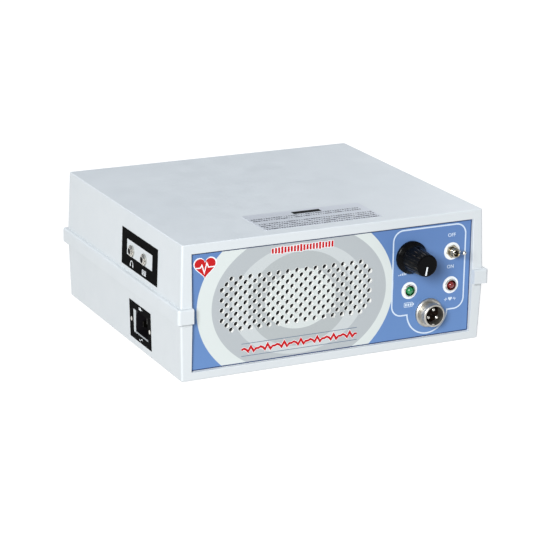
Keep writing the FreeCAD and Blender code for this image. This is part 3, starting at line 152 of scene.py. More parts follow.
def inside_ellipse(material, place, centre, reach):
    """1 inside an ellipse on the panel's face and 0 outside."""
    fitted = add(material, "Mapping", {
        "Vector": place, "Scale": (1 / reach[0], 0, 1 / reach[1]),
        "Location": (-centre[0] / reach[0], 0, -centre[1] / reach[1])})
    distance = add(material, "VectorMath", {0: fitted}, operation="LENGTH")
    edge = PRINT_EDGE / reach[0]
    return add(material, "MapRange", {"Value": distance, "From Min": 1 + edge, "From Max": 1 - edge})


def printed_film():
    """Polycarbonate film screen-printed on its back: flat colours under a fine matt grain, except the
    field's blue, which grows paler towards the bottom as painted light from below.
    """
    grain_size, wiped_size = 0.5, 30
    (bottom, bottom_blue), (top, top_blue) = FILM_FIELD
    material, place = start_pattern("polycarbonate film, screen-printed")
    height = add(material, "SeparateXYZ", {"Vector": place}).outputs["Z"]
    # Painted light: the field's blue grows paler towards the bottom, standing in for light thrown up from
    # below
    share = add(material, "MapRange", {"Value": height, "From Min": bottom, "From Max": top})
    colour = add(material, "Mix", {0: share, COLOUR_A: bottom_blue, COLOUR_B: top_blue}, data_type="RGBA")
    for oval, centre, reach in FILM_OVALS:
        mask = inside_ellipse(material, place, centre, reach)
        colour = add(material, "Mix", {0: mask, COLOUR_A: colour, COLOUR_B: oval}, data_type="RGBA")
    grain = add(material, "TexNoise", {"Vector": place, "Scale": 1 / grain_size, "Detail": 2.0})
    wiped = add(material, "TexNoise", {"Vector": place, "Scale": 1 / wiped_size, "Detail": 4.0})
    gloss = add(material, "MapRange", {"Value": wiped, **NOISE_SPREAD, "To Min": 0.3, "To Max": 0.42})
    bump = add(material, "Bump", {"Height": grain, "Strength": 0.25, "Distance": FINE_RELIEF})
    return finish_material(material, {
        "Base Color": colour, "Roughness": gloss, "Specular IOR Level": 0.3, "Normal": bump})


def screen_ink(name, colour, shine=0.5):
    """Screen-printed ink: dense and flat, with the mesh's slight unevenness."""
    patch_size, thinnest = 1.5, 0.9
    material, place = start_pattern(name)
    patch = add(material, "TexNoise", {"Vector": place, "Scale": 1 / patch_size, "Detail": 3.0})
    full = linear(colour)
    thin = tuple(thinnest * c for c in full[:3]) + (1.0,)
    tone = add(material, "Mix", {0: patch, COLOUR_A: full, COLOUR_B: thin}, data_type="RGBA")
    gloss = add(material, "MapRange", {"Value": patch, "To Min": 0.4, "To Max": 0.55})
    return finish_material(material, {
        "Base Color": tone, "IOR": 1.5, "Roughness": gloss, "Specular IOR Level": shine})


# ---- Metals ----
def plated_metal(name, bright, dull, smooth, rough, scratch):
    """Plated and tinned metals, and brass darkened as painted shade: a finish broken by smears and fine
    turning marks.
    """
    smear_size, mark_size = 3.5, 0.25
    material, place = start_pattern(name)
    smear = add(material, "TexNoise", {
        "Vector": place, "Scale": 1 / smear_size, "Detail": 4.0, "Roughness": 0.6})
    marks = add(material, "TexNoise", {"Vector": place, "Scale": 1 / mark_size, "Detail": 3.0})
    tone = add(material, "Mix", {0: smear, COLOUR_A: bright, COLOUR_B: dull}, data_type="RGBA")
    gloss = add(material, "MapRange", {"Value": smear, **NOISE_SPREAD, "To Min": smooth, "To Max": rough})
    bump = add(material, "Bump", {"Height": marks, "Strength": scratch, "Distance": FINE_RELIEF})
    return finish_material(material, {
        "Base Color": tone, "Metallic": 1.0, "Roughness": gloss, "Normal": bump})


# ---- Plastics, lenses and labels ----
def dark_moulding(name, face, worn, smooth, rough, shine=0.25):
    """Dark moulded plastic or vinyl: a deep colour, with handling marks in its tone and gloss."""
    handling_size, grain_size = 4, 0.4
    material, place = start_pattern(name)
    handling = add(material, "TexNoise", {
        "Vector": place, "Scale": 1 / handling_size, "Detail": 5.0, "Roughness": 0.65})
    grain = add(material, "TexNoise", {"Vector": place, "Scale": 1 / grain_size, "Detail": 2.0})
    tone = add(material, "Mix", {0: handling, COLOUR_A: face, COLOUR_B: worn}, data_type="RGBA")
    gloss = add(material, "MapRange", {
        "Value": handling, **NOISE_SPREAD, "To Min": smooth, "To Max": rough})
    bump = add(material, "Bump", {"Height": grain, "Strength": 0.25, "Distance": FINE_RELIEF})
    return finish_material(material, {
        "Base Color": tone, "Roughness": gloss, "Specular IOR Level": shine, "Normal": bump})


FLUTES = 20
FIRST_CREST = math.radians(10)      # round the knob, from straight up
KNOB_WAIST = 7.0                    # how far the skirt and its cone reach from the knob's foot


def phenolic_with_crest_wear_and_highlight():
    """Black compression-moulded phenolic, whose flute crests are mixed to a brownish grey: partly rubbed
    wear, partly a painted highlight standing in for light glinting on the crests.
    """
    streak_width, streak_length, grain_size = 1.2, 6, 0.4
    material, place = start_pattern("phenolic, compression-moulded, handled")
    from_axis = add(material, "VectorMath", {0: place, 1: (KNOB.x, 0, KNOB.z)}, operation="SUBTRACT")
    parts = add(material, "SeparateXYZ", {"Vector": from_axis}).outputs
    angle = add(material, "Math", {0: parts["X"], 1: parts["Z"]}, operation="ARCTAN2")
    past_crest = add(material, "Math", {0: angle, 1: FIRST_CREST}, operation="SUBTRACT")
    turned = add(material, "Math", {0: past_crest, 1: float(FLUTES)}, operation="MULTIPLY")
    wave = add(material, "Math", {0: turned}, operation="COSINE")
    crest = add(material, "MapRange", {"Value": wave, "From Min": 0.35, "From Max": 0.95})
    stretch = (1 / streak_width, 1 / streak_length, 1 / streak_width)
    along = add(material, "Mapping", {"Vector": place, "Scale": stretch})
    streaks = add(material, "TexNoise", {"Vector": along, "Scale": 1.0, "Detail": 4.0})
    rubbed_and_highlight_streaks = add(material, "MapRange", {"Value": streaks, "From Min": 0.5, "From Max": 0.68})
    crest_wear_and_highlight = add(material, "Math", {0: crest, 1: rubbed_and_highlight_streaks}, operation="MULTIPLY")
    # The crests' wear and painted highlight start behind the knob's face and end before its skirt
    face = low_corner("volume_knob").y
    waist = high_corner("volume_knob").y - KNOB_WAIST
    for none, whole in ((face + 0.8, face + 1.6), (waist, waist - 1.0)):
        limit = add(material, "MapRange", {"Value": parts["Y"], "From Min": none, "From Max": whole})
        crest_wear_and_highlight = add(material, "Math", {0: crest_wear_and_highlight, 1: limit}, operation="MULTIPLY")
    # Painted highlight and wear: the crests are mixed towards a brownish grey
    tone = add(material, "Mix", {0: crest_wear_and_highlight, COLOUR_A: "#030304", COLOUR_B: "#544C45"}, data_type="RGBA")
    gloss = add(material, "MapRange", {"Value": streaks, **NOISE_SPREAD, "To Min": 0.2, "To Max": 0.34})
    grain = add(material, "TexNoise", {"Vector": place, "Scale": 1 / grain_size, "Detail": 2.0})
    bump = add(material, "Bump", {"Height": grain, "Strength": 0.2, "Distance": FINE_RELIEF})
    return finish_material(material, {
        "Base Color": tone, "Roughness": gloss, "Specular IOR Level": 0.08, "Normal": bump})


BUSH_RADIUS = 3.0
BORE_AND_MOUTH_SHADE = 2.2             # the bore, and past it a black ring of painted shade round its mouth


def bushed_moulding(node):
    """A black nylon jack with a nickel-plated bush moulded into it, and a dark bore whose black spreads
    onto the bush as painted shade round its mouth.
    """
    smear_size = 2
    centre = middle(node)
    material, place = start_pattern("nylon jack with a nickel bush, " + node)
    flat = add(material, "Mapping", {
        "Vector": place, "Scale": (0, 1, 1), "Location": (0, -centre.y, -centre.z)})
    radius = add(material, "VectorMath", {0: flat}, operation="LENGTH")
    # Painted shade: the black reaches from the bore out past its edge onto the bush's face
    outside_mouth_shade = add(material, "MapRange", {
        "Value": radius, "From Min": BORE_AND_MOUTH_SHADE + 0.02, "From Max": BORE_AND_MOUTH_SHADE + 0.08})
    inside_rim = add(material, "MapRange", {
        "Value": radius, "From Min": BUSH_RADIUS + 0.12, "From Max": BUSH_RADIUS + 0.06})
    plated = add(material, "Math", {0: outside_mouth_shade, 1: inside_rim}, operation="MULTIPLY")
    smear = add(material, "TexNoise", {"Vector": place, "Scale": 1 / smear_size, "Detail": 4.0})
    nickel = add(material, "Mix", {0: smear, COLOUR_A: "#DAD8D2", COLOUR_B: "#B0ADA5"}, data_type="RGBA")
    tone = add(material, "Mix", {0: plated, COLOUR_A: "#08080A", COLOUR_B: nickel}, data_type="RGBA")
    gloss = add(material, "MapRange", {"Value": plated, "To Min": 0.5, "To Max": 0.16})
    return finish_material(material, {"Base Color": tone, "Metallic": plated, "Roughness": gloss})


def epoxy_lens(name, deep, lit):
    """Diffused epoxy: a wet, deep-coloured dome that glows a little where light gathers inside."""
    cloud_size, light_reach = 1.2, 0.6
    material, place = start_pattern(name)
    cloud = add(material, "TexNoise", {"Vector": place, "Scale": 1 / cloud_size, "Detail": 3.0})
    tone = add(material, "Mix", {0: cloud, COLOUR_A: deep, COLOUR_B: lit}, data_type="RGBA")
    return finish_material(material, {
        "Base Color": tone, "Roughness": 0.06, "IOR": 1.54, "Transmission Weight": 0.35,
        "Subsurface Weight": 0.3, "Subsurface Radius": (light_reach * MM,) * 3, "Coat Weight": 0.6,
        "Coat Roughness": 0.03})


def foil_label():
    """Printed aluminium foil: silver-grey, with the fine lines of its rolling."""
    line_length, line_width = 25, 0.4
    material, place = start_pattern("aluminium foil label")
    stretched = add(material, "Mapping", {"Vector": place, "Scale": (1 / line_length, 1 / line_width, 1.0)})
    rolled = add(material, "TexNoise", {"Vector": stretched, "Scale": 1.0, "Detail": 3.0})
    tone = add(material, "Mix", {0: rolled, COLOUR_A: "#C6CBD1", COLOUR_B: "#D6DAE0"}, data_type="RGBA")
    bump = add(material, "Bump", {"Height": rolled, "Strength": 0.15, "Distance": FINE_RELIEF})
    return finish_material(material, {
        "Base Color": tone, "Metallic": 0.35, "Roughness": 0.42, "Normal": bump})


def woven_cloth():
    """Black speaker cloth: a plain weave, drawn with its threads 0.625 mm apart so that they show."""
    thread_pitch = 0.625
    material, place = start_pattern("woven polyester speaker cloth")
    wave = {"Vector": place, "Scale": 1 / (WAVE_BANDS * thread_pitch), "Distortion": 0.4}
    warp = add(material, "TexWave", wave, wave_type="BANDS", bands_direction="X").outputs["Fac"]
    weft = add(material, "TexWave", wave, wave_type="BANDS", bands_direction="Z").outputs["Fac"]
    weave = add(material, "Math", {0: warp, 1: weft}, operation="MULTIPLY")
    tone = add(material, "Mix", {0: weave, COLOUR_A: "#0A0A0B", COLOUR_B: "#1C1C1E"}, data_type="RGBA")
    bump = add(material, "Bump", {"Height": weave, "Strength": 0.5, "Distance": 0.1 * MM})
    return finish_material(material, {
        "Base Color": tone, "Roughness": 0.95, "Normal": bump, "Sheen Weight": 0.1})


# ---- Materials inside the case ----
def mottled(name, first, second, size, roughness, metallic=0.0, relief=0.05):
    """A dull inner material whose tone and relief vary at one size."""
    material, place = start_pattern(name)
    patch = add(material, "TexNoise", {"Vector": place, "Scale": 1 / size, "Detail": 4.0})
    tone = add(material, "Mix", {0: patch, COLOUR_A: first, COLOUR_B: second}, data_type="RGBA")
    bump = add(material, "Bump", {"Height": patch, "Strength": 0.4, "Distance": relief * MM})
    return finish_material(material, {
        "Base Color": tone, "Roughness": roughness, "Metallic": metallic, "Normal": bump})


def layered(name, first, second, pitch, direction, roughness, metallic):
    """Stacked sheets or wound wire: even lines a pitch apart."""
    material, place = start_pattern(name)
    wave = {"Vector": place, "Scale": 1 / (WAVE_BANDS * pitch), "Distortion": 0.3}
    lines = add(material, "TexWave", wave, wave_type="BANDS", bands_direction=direction).outputs["Fac"]
    tone = add(material, "Mix", {0: lines, COLOUR_A: first, COLOUR_B: second}, data_type="RGBA")
    bump = add(material, "Bump", {"Height": lines, "Strength": 0.6, "Distance": 0.15 * MM})
    return finish_material(material, {
        "Base Color": tone, "Roughness": roughness, "Metallic": metallic, "Normal": bump})


def circuit_board():
    """Glass epoxy under green solder mask, with the copper tracks showing paler through it."""
    track_pitch = 6
    material, place = start_pattern("glass epoxy board, solder mask")
    tracks = add(material, "TexVoronoi", {"Vector": place, "Scale": 1 / track_pitch}, distance="MANHATTAN",
                 feature="DISTANCE_TO_EDGE")
    mask = add(material, "MapRange", {"Value": tracks, "From Min": 0.05, "From Max": 0.09})
    tone = add(material, "Mix", {0: mask, COLOUR_A: "#2E7A46", COLOUR_B: "#12512B"}, data_type="RGBA")
    return finish_material(material, {"Base Color": tone, "Roughness": 0.3, "IOR": 1.5})


case_abs = moulded_abs("ABS, injection-moulded, light grey", "#D4D9DB", "#CDD3D6")
panel_abs = moulded_abs("polystyrene, injection-moulded, white", "#FBFCFA", "#F4F6F3")
film = printed_film()
white_ink = screen_ink("screen ink, white", "#F2F7FA")
pale_ink = screen_ink("screen ink, pale blue", "#D3E2F1")
red_ink = screen_ink("screen ink, red", "#C2161A", 0.2)
slate_ink = screen_ink("screen ink, slate blue", "#5F7189")
# Painted shadow: the deep blue of the dark line along the film's edge
edge_shadow_ink = screen_ink("painted shadow, deep blue", "#384A70", 0.2)
grey_ink = screen_ink("label ink, grey", "#464A53", 0.3)
black_ink = screen_ink("label ink, black", "#0C0D0E", 0.05)
bright_nickel = plated_metal("brass, bright nickel plate", "#DAD8D2", "#B9B6AE", 0.06, 0.2, 0.15)
# Its dull tone is far darker than its bright one: the dark smears are partly smear, partly painted
# reflection standing in for dark surroundings mirrored in the chrome
satin_nickel = plated_metal("zinc, die-cast, nickel plate", "#DEDBD4", "#8A877D", 0.35, 0.5, 0.15)
pale_nickel = plated_metal("brass, pale nickel plate", "#F0EEEA", "#D2CFC8", 0.12, 0.26, 0.15)
warm_nickel = plated_metal("brass, worn nickel plate", "#C9C2B0", "#8F8672", 0.1, 0.26, 0.3)
zinc_steel = plated_metal("steel, zinc plate", "#C9CCCB", "#BDB694", 0.28, 0.45, 0.4)
tinned_brass = plated_metal("brass, hot-tinned", "#D5D3CB", "#BFB594", 0.2, 0.35, 0.3)
# Painted shade: the inlet's blades are near-black brass, standing in for the shade inside the inlet's
# cavity
shade_darkened_brass = plated_metal("brass, darkened as painted shade", "#2C2924", "#1A1815", 0.35, 0.55, 0.3)
black_nylon = dark_moulding("nylon, moulded, black", "#08070A", "#121014", 0.4, 0.55)
brown_bakelite = dark_moulding("phenolic, moulded, brown-black", "#0C0603", "#1C0F08", 0.3, 0.45, 0.05)
black_vinyl = dark_moulding("vinyl label, black", "#040404", "#080809", 0.5, 0.62, 0.01)
green_lens = epoxy_lens("epoxy lens, green", "#0C8044", "#3FC47C")
red_lens = epoxy_lens("epoxy lens, red", "#741012", "#B43430")

FINISHES = {
    case_abs: ("bottom_shell", "top_shell"),
    panel_abs: ("front_panel",),
    film: ("front_overlay",),
    woven_cloth(): ("grille_cloth",),
    phenolic_with_crest_wear_and_highlight(): ("volume_knob",),
    white_ink: ("knob_pointer",),
    bright_nickel: ("probe_socket_pins", "toggle_lever", "jack_nuts", "inlet_screws"),
    satin_nickel: ("probe_socket_shell",),
    pale_nickel: ("led_bezels",),
    warm_nickel: ("toggle_bushing", "toggle_nut"),
    zinc_steel: ("case_screws", "knob_grub_screw", "volume_shaft", "volume_pot", "pot_nut", "led_nuts",
                 "probe_socket_nut", "inlet_nuts", "speaker_basket", "speaker_nuts", "board_screws",
                 "transformer_strap", "transformer_screws", "battery_strap", "battery_screws"),
    tinned_brass: ("pot_lugs", "toggle_lugs", "battery_terminals"),
    shade_darkened_brass: ("inlet_blades",),
    green_lens: ("green_led",),
    red_lens: ("red_led",),
    black_nylon: ("toggle_body", "mains_inlet", "board_chips"),
    brown_bakelite: ("probe_socket_insert",),
    bushed_moulding("earphone_jack"): ("earphone_jack",),
    bushed_moulding("tape_jack"): ("tape_jack",),
    black_vinyl: ("jack_label", "inlet_label"),
    foil_label(): ("top_label",),
    mottled("pressed card", "#4A4238", "#5C5347", 1.5, 0.9): ("speaker_gasket",),
    mottled("ferrite and steel plates", "#26272A", "#35373A", 3.0, 0.5, 0.6): ("speaker_magnet",),
    mottled("butyl rubber", "#0E0E0F", "#1A1A1B", 1.0, 0.7): ("speaker_surround",),
    mottled("pressed paper pulp", "#151413", "#2A2826", 1.2, 0.95, relief=0.2):
        ("speaker_cone", "speaker_coil", "speaker_dust_cap"),
    circuit_board(): ("main_board",),
    mottled("shrink sleeve, blue", "#101A45", "#182456", 4.0, 0.3): ("board_capacitors",),
    mottled("nylon, moulded, white", "#DAD6C8", "#E4E1D6", 3.0, 0.5): ("board_headers",),
    layered("silicon steel laminations", "#3A3B40", "#5A5C62", 0.5, "Y", 0.45, 0.8): ("transformer_core",),
    layered("enamelled copper winding", "#7A3F14", "#B0682C", 0.6, "Z", 0.35, 0.7): ("transformer_coil",),
    mottled("ABS, moulded, dark grey", "#232427", "#2D2E32", 8.0, 0.5): ("battery",),
    mottled("PVC, extruded, grey", "#55585C", "#63666A", 2.0, 0.45): ("signal_leads",),
    mottled("PVC, extruded, red", "#8E1A16", "#A42520", 2.0, 0.45): ("power_leads",),
    mottled("PVC, extruded, brown", "#4A2A18", "#5C3520", 2.0, 0.45): ("mains_leads",),
}


def dress(mesh, material):
    mesh.materials.clear()
    mesh.materials.append(material)


def dress_nodes():
    for material, names in FINISHES.items():
        for name in names:
            dress(nodes[name].data, material)


# ---- Making pieces ----
def add_piece(name, mesh, material):
    mesh.name = name
    dress(mesh, material)
    piece = bpy.data.objects.new(name, mesh)
    bpy.context.scene.collection.objects.link(piece)
    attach(piece, "case")


def on_film(across, up, proud):
    return Vector((across, FILM_Y - proud, up)) * MM


def on_top_label(across, up, proud):
    return Vector((across, up, high_corner("top_label").z + proud)) * MM


def on_jack_label(across, up, proud):
    """On the upper half's left wall, which leans in as it rises."""
    low = low_corner("jack_label")
    return Vector((low.x + WALL_DRAFT * (up - low.z) - proud, across, up)) * MM


def on_inlet_label(across, up, proud):
    """On the lower half's left wall, which leans out as it rises."""
    outermost = low_corner("inlet_label").x
    top = high_corner("inlet_label").z
    return Vector((outermost + WALL_DRAFT * (top - up) - proud, across, up)) * MM


def printed(name, faces, placed, ink, layer=0):
    """Thin printed shapes, from polygons of (across, up) points that placed puts on a surface.

    Each polygon gives a lower and an upper face, and an edge of only one polygon gives a wall. The normals
    come last, because the side labels mirror what is put on them.
    """
    weld = 4    # decimal places to which two corners are one
    points, rings, edges = {}, [], {}
    for face in faces:
        keys = [(round(across, weld), round(up, weld)) for across, up in face]
        ring = [points.setdefault(key, (len(points), point))[0] for key, point in zip(keys, face)]
        rings.append(ring)
        for edge in zip(ring, ring[1:] + ring[:1]):
            edges.setdefault(frozenset(edge), []).append(edge)
    count = len(points)
    levels = (layer, layer + 1)
    corners = [placed(*point, level * INK) for level in levels for _, point in points.values()]
    upper = [[corner + count for corner in ring] for ring in rings]
    walls = [(a, b, b + count, a + count) for uses in edges.values() if len(uses) == 1 for a, b in uses]
    data = bpy.data.meshes.new(name)
    data.from_pydata(corners, [], rings + upper + walls)
    mesh = bmesh.new()
    mesh.from_mesh(data)
    bmesh.ops.recalc_face_normals(mesh, faces=mesh.faces[:])
    mesh.to_mesh(data)
    mesh.free()
    add_piece(name, data, ink)


def about(centre, points):
    """Points drawn round the origin, moved to a centre."""
    return [(centre[0] + across, centre[1] + up) for across, up in points]


def box_face(left, low, right, high):
    return [(left, low), (right, low), (right, high), (left, high)]


def arc(centre, radius, start, end, steps):
    """Points round an arc, in degrees."""
    points = []
    for step in range(steps + 1):
        angle = math.radians(start + (end - start) * step / steps)
        points.append((centre[0] + radius * math.cos(angle), centre[1] + radius * math.sin(angle)))
    return points


def line_faces(points, width, closed=False):
    """Faces along a line of a width, mitred at its points."""
    sharpest = 0.35     # the least cosine of half a bend whose mitre keeps its full length
    path = [Vector(p) for p in points]
    count = len(path)
    sides = []
    for index, point in enumerate(path):
        before = path[index - 1] if closed or index > 0 else None
        after = path[(index + 1) % count] if closed or index < count - 1 else None
        into = (point - before).normalized() if before is not None else (after - point).normalized()
        out = (after - point).normalized() if after is not None else into
        normal = Vector((-into.y - out.y, into.x + out.x)).normalized()
        reach = width / 2 / max(normal.dot(Vector((-into.y, into.x))), sharpest)
        sides.append((tuple(point + normal * reach), tuple(point - normal * reach)))
    faces = []
    for index in range(count if closed else count - 1):
        here = sides[index]
        there = sides[(index + 1) % count]
        faces.append((here[0], here[1], there[1], there[0]))
    return faces


def ring_faces(centre, outer, inner, steps=64):
    radius = (outer + inner) / 2
    return line_faces(arc(centre, radius, 0, 360 * (1 - 1 / steps), steps - 1), outer - inner, closed=True)


def rounded_box(low, high, radius, steps=6):
    """The outline of a box with rounded corners, anticlockwise."""
    points = []
    for x, z, start in ((high[0] - radius, low[1] + radius, -90), (high[0] - radius, high[1] - radius, 0),
                        (low[0] + radius, high[1] - radius, 90), (low[0] + radius, low[1] + radius, 180)):
        points += arc((x, z), radius, start, start + 90, steps)
    return points


def heart(centre, width, steps=48):
    """A plain heart's outline, from the usual curve, which is 32 wide and has its middle 2.5 below zero."""
    points = []
    for step in range(steps):
        t = 2 * math.pi * step / steps
        across = 16 * math.sin(t) ** 3
        up = 13 * math.cos(t) - 5 * math.cos(2 * t) - 2 * math.cos(3 * t) - math.cos(4 * t)
        points.append((centre[0] + across * width / 32, centre[1] + (up + 2.5) * width / 32))
    return points


def word_faces(word, centre, height):
    """The faces of a short word of plain capitals, of a height, about a centre."""
    curve = bpy.data.curves.new(word, "FONT")
    curve.body = word
    curve.offset = 0.012        # thickens the strokes, as a share of the letters' size
    curve.resolution_u = 4
    holder = bpy.data.objects.new(word, curve)
    bpy.context.scene.collection.objects.link(holder)
    seen = holder.evaluated_get(bpy.context.evaluated_depsgraph_get())
    mesh = bpy.data.meshes.new_from_object(seen)
    places = [vertex.co.copy() for vertex in mesh.vertices]
    polygons = [tuple(polygon.vertices) for polygon in mesh.polygons]
    bpy.data.objects.remove(holder)
    bpy.data.meshes.remove(mesh)
    low = Vector((min(p.x for p in places), min(p.y for p in places)))
    high = Vector((max(p.x for p in places), max(p.y for p in places)))
    scale = height / (high.y - low.y)
    shift = (low + high) / 2
    return [about(centre, [((places[i].x - shift.x) * scale, (places[i].y - shift.y) * scale)
                           for i in polygon]) for polygon in polygons]


# ---- Prints on the front film, and a painted shadow along its edge ----
EDGE_SHADOW_WIDTH = 0.8                     # width of the painted shadow line along the film's cut edge
OUTLINE_LOW = (44.1, 23.4)
OUTLINE_HIGH = (100.3, 83.9)
OUTLINE_RADIUS = 7.5
OUTLINE_WIDTH = 1.0
BULGE_RADIUS = 15.7
BULGE_CENTRE = (71.9, 24.1)
SWITCH_RING = (6.2, 3.2)            # outer and inner radius
LAMP_RING = (6.05, 4.1)
WORD_HEIGHT = 2.5
SWITCH_WORDS = (("OFF", (-0.5, 11.6)), ("ON", (-0.8, -10.9)))       # from the switch's middle
LAMP_MARK_DROP = 10.2               # from a lamp down to its mark


def make_painted_edge_shadow():
    """A painted shadow: a dark line along the film's cut edge, standing in for the shade under the frame's
    lip.
    """
    low, high = low_corner("front_overlay"), high_corner("front_overlay")
    inset, corner_radius = EDGE_SHADOW_WIDTH / 2, 1.0
    path = rounded_box((low.x + inset, low.z + inset), (high.x - inset, high.z - inset), corner_radius)
    printed("film_edge_shadow", line_faces(path, EDGE_SHADOW_WIDTH, closed=True), on_film, edge_shadow_ink)


def make_control_outline():
    """The white line round the controls, with its bulge under the probe socket."""
    corner_steps, bulge_steps = 12, 36
    left, low = OUTLINE_LOW
    right, high = OUTLINE_HIGH
    r = OUTLINE_RADIUS
    dip = math.degrees(math.asin((BULGE_CENTRE[1] - low) / BULGE_RADIUS))
    path = arc((left + r, high - r), r, 180, 90, corner_steps)
    path += arc((right - r, high - r), r, 90, 0, corner_steps)
    path += arc((right - r, low + r), r, 0, -90, corner_steps)
    path += arc(BULGE_CENTRE, BULGE_RADIUS, -dip, dip - 180, bulge_steps)
    path += arc((left + r, low + r), r, -90, -180, corner_steps)
    printed("control_outline", line_faces(path, OUTLINE_WIDTH, closed=True), on_film, pale_ink)


def make_control_rings():
    """White rings round the switch and the lamps."""
    rings = []
    for control, radii in ((SWITCH, SWITCH_RING), (GREEN, LAMP_RING), (RED, LAMP_RING)):
        rings += ring_faces((control.x, control.z), *radii)
    printed("control_rings", rings, on_film, white_ink)


def make_switch_words():
    words = []
    for word, (across, up) in SWITCH_WORDS:
        words += word_faces(word, (SWITCH.x + across, SWITCH.z + up), WORD_HEIGHT)
    printed("switch_words", words, on_film, pale_ink)


def make_battery_mark():
    """A battery sign under the green lamp: its case, its end and three bars of charge."""
    x, z = GREEN.x, GREEN.z - LAMP_MARK_DROP
    line, bars, bar_pitch, bar_width, bar_reach, end_reach = 0.4, 3, 1.9, 1.3, 0.85, 0.7
    faces = line_faces(rounded_box((x - 3.6, z - 1.5), (x + 3.0, z + 1.5), 0.5, 3), line, closed=True)
    faces.append(box_face(x + 3.2, z - end_reach, x + 3.9, z + end_reach))
    for bar in range(bars):
        left = x - 2.9 + bar * bar_pitch
        faces.append(box_face(left, z - bar_reach, left + bar_width, z + bar_reach))
    printed("battery_mark", faces, on_film, pale_ink)


def make_beat_mark():
    """A small heart between two short pulse lines, under the red lamp."""
    heart_width, line = 3.2, 0.35
    centre = (RED.x, RED.z - LAMP_MARK_DROP)
    faces = [heart(centre, heart_width, 24)]
    for side in (-1, 1):
        path = [(2.2, 0), (2.8, 0), (3.2, 0.9), (3.7, -0.9), (4.1, 0), (4.7, 0)]
        faces += line_faces(about(centre, [(side * across, up) for across, up in path]), line)
    printed("beat_mark", faces, on_film, pale_ink)


def make_volume_mark():
    """Five rising bars beside the knob's skirt."""
    x, z = KNOB.x - 8.9, KNOB.z - 11.4
    bars, pitch, width, foot, lowest_top, rise = 5, 1.35, 0.8, 1.2, 0.7, 0.5
    faces = []
    for bar in range(bars):
        left = x + bar * pitch
        faces.append(box_face(left, z - foot, left + width, z - lowest_top + bar * rise))
    printed("volume_mark", faces, on_film, pale_ink)


HEART_CENTRE = (-94.9, 75.4)
HEART_WIDTH = 15.0
HEART_EDGE = 1.6            # how much wider its white edge is
HEART_PULSE = ((-7.0, 0.6), (-3.4, 0.6), (-2.3, 2.4), (-0.6, -3.0), (1.2, 3.6), (2.5, 0.6), (7.0, 0.6))
HEART_PULSE_WIDTH = 0.8


def make_heart_emblem():
    """A red heart edged in white, with a white pulse line across it."""
    edge = heart(HEART_CENTRE, HEART_WIDTH + HEART_EDGE)
    printed("heart_edge", [edge], on_film, white_ink)
    printed("heart_emblem", [heart(HEART_CENTRE, HEART_WIDTH)], on_film, red_ink, 1)
    pulse = line_faces(about(HEART_CENTRE, HEART_PULSE), HEART_PULSE_WIDTH)
    printed("heart_pulse", pulse, on_film, white_ink, 2)


TRACE_LEFT = -68.4
TRACE_RIGHT = 17.6
TRACE_HEIGHT = 15.6
TRACE_BEATS = 7
TRACE_WIDTH = 1.5
HALO = 0.25                 # white left showing round the trace
# One beat of the trace: how far along it, as a share, and how far up, in millimetres
TRACE_BEAT = ((0.0, 0.0), (0.14, 0.8), (0.28, 0.0), (0.4, -1.6), (0.56, 1.8), (0.73, -1.7), (0.86, 0.0))
RULE_HEIGHTS = (11.2, 19.8)
RULE_WIDTH = 0.4


def make_pulse_trace():
    """A red heartbeat trace between two thin lines, under the perforations."""
    beat_length = (TRACE_RIGHT - TRACE_LEFT) / TRACE_BEATS
    path = []
    for beat in range(TRACE_BEATS):
        for share, up in TRACE_BEAT:
            path.append((TRACE_LEFT + (beat + share) * beat_length, TRACE_HEIGHT + up))
    path.append((TRACE_RIGHT, TRACE_HEIGHT + TRACE_BEAT[0][1]))
    printed("pulse_halo", line_faces(path, TRACE_WIDTH + 2 * HALO), on_film, white_ink)
    printed("pulse_trace", line_faces(path, TRACE_WIDTH), on_film, red_ink, 1)
    rules = []
    for up in RULE_HEIGHTS:
        rules += line_faces([(TRACE_LEFT, up), (TRACE_RIGHT, up)], RULE_WIDTH)
    printed("trace_rules", rules, on_film, slate_ink)


# ---- Prints on the side labels ----
def make_jack_marks():
    """Headphones under one jack and two tape reels under the other."""
    phones, reels = middle("earphone_jack").y, middle("tape_jack").y
    base = low_corner("jack_label").z + 3.6
    band_radius, band_width, cup_reach, cup_corner = 2.2, 0.5, 0.6, 0.35
    faces = line_faces(arc((phones, base), band_radius, 0, 180, 16), band_width)
    for side in (-1, 1):
        cup = phones + side * band_radius
        low, high = (cup - cup_reach, base - 1.8), (cup + cup_reach, base + 0.3)
        faces.append(rounded_box(low, high, cup_corner, 3))
    reel_apart, tape_reach, tape_drop, tape_width = 1.9, 3.5, 1.6, 0.45
    for side in (-1, 1):
        for outer, inner, steps in ((1.6, 1.1, 24), (0.6, 0.2, 12)):
            faces += ring_faces((reels + side * reel_apart, base + 0.2), outer, inner, steps)
    tape = base - tape_drop
    faces += line_faces([(reels - tape_reach, tape), (reels + tape_reach, tape)], tape_width)
    printed("jack_marks", faces, on_jack_label, white_ink)


def make_inlet_marks():
    """A plug above the mains inlet and a wave below it."""
    y = middle("mains_inlet").y
    plug = high_corner("inlet_label").z - 2.1
    blade_apart, blade_width, lead_width = 0.55, 0.35, 0.4
    faces = [rounded_box((y - 1.5, plug - 1.0), (y + 1.1, plug + 1.0), 0.5, 3)]
    for side in (-1, 1):
        blade = plug + side * blade_apart
        faces += line_faces([(y + 1.2, blade), (y + 2.7, blade)], blade_width)
    faces += line_faces([(y - 3.6, plug), (y - 1.6, plug)], lead_width)
    low = low_corner("inlet_label").z + 2.4
    reach, height, width, steps = 3, 0.9, 0.45, 24
    wave = [(y - reach + step * 2 * reach / steps, low + height * math.sin(2 * math.pi * step / steps))
            for step in range(steps + 1)]
    faces += line_faces(wave, width)
    printed("inlet_marks", faces, on_inlet_label, white_ink)


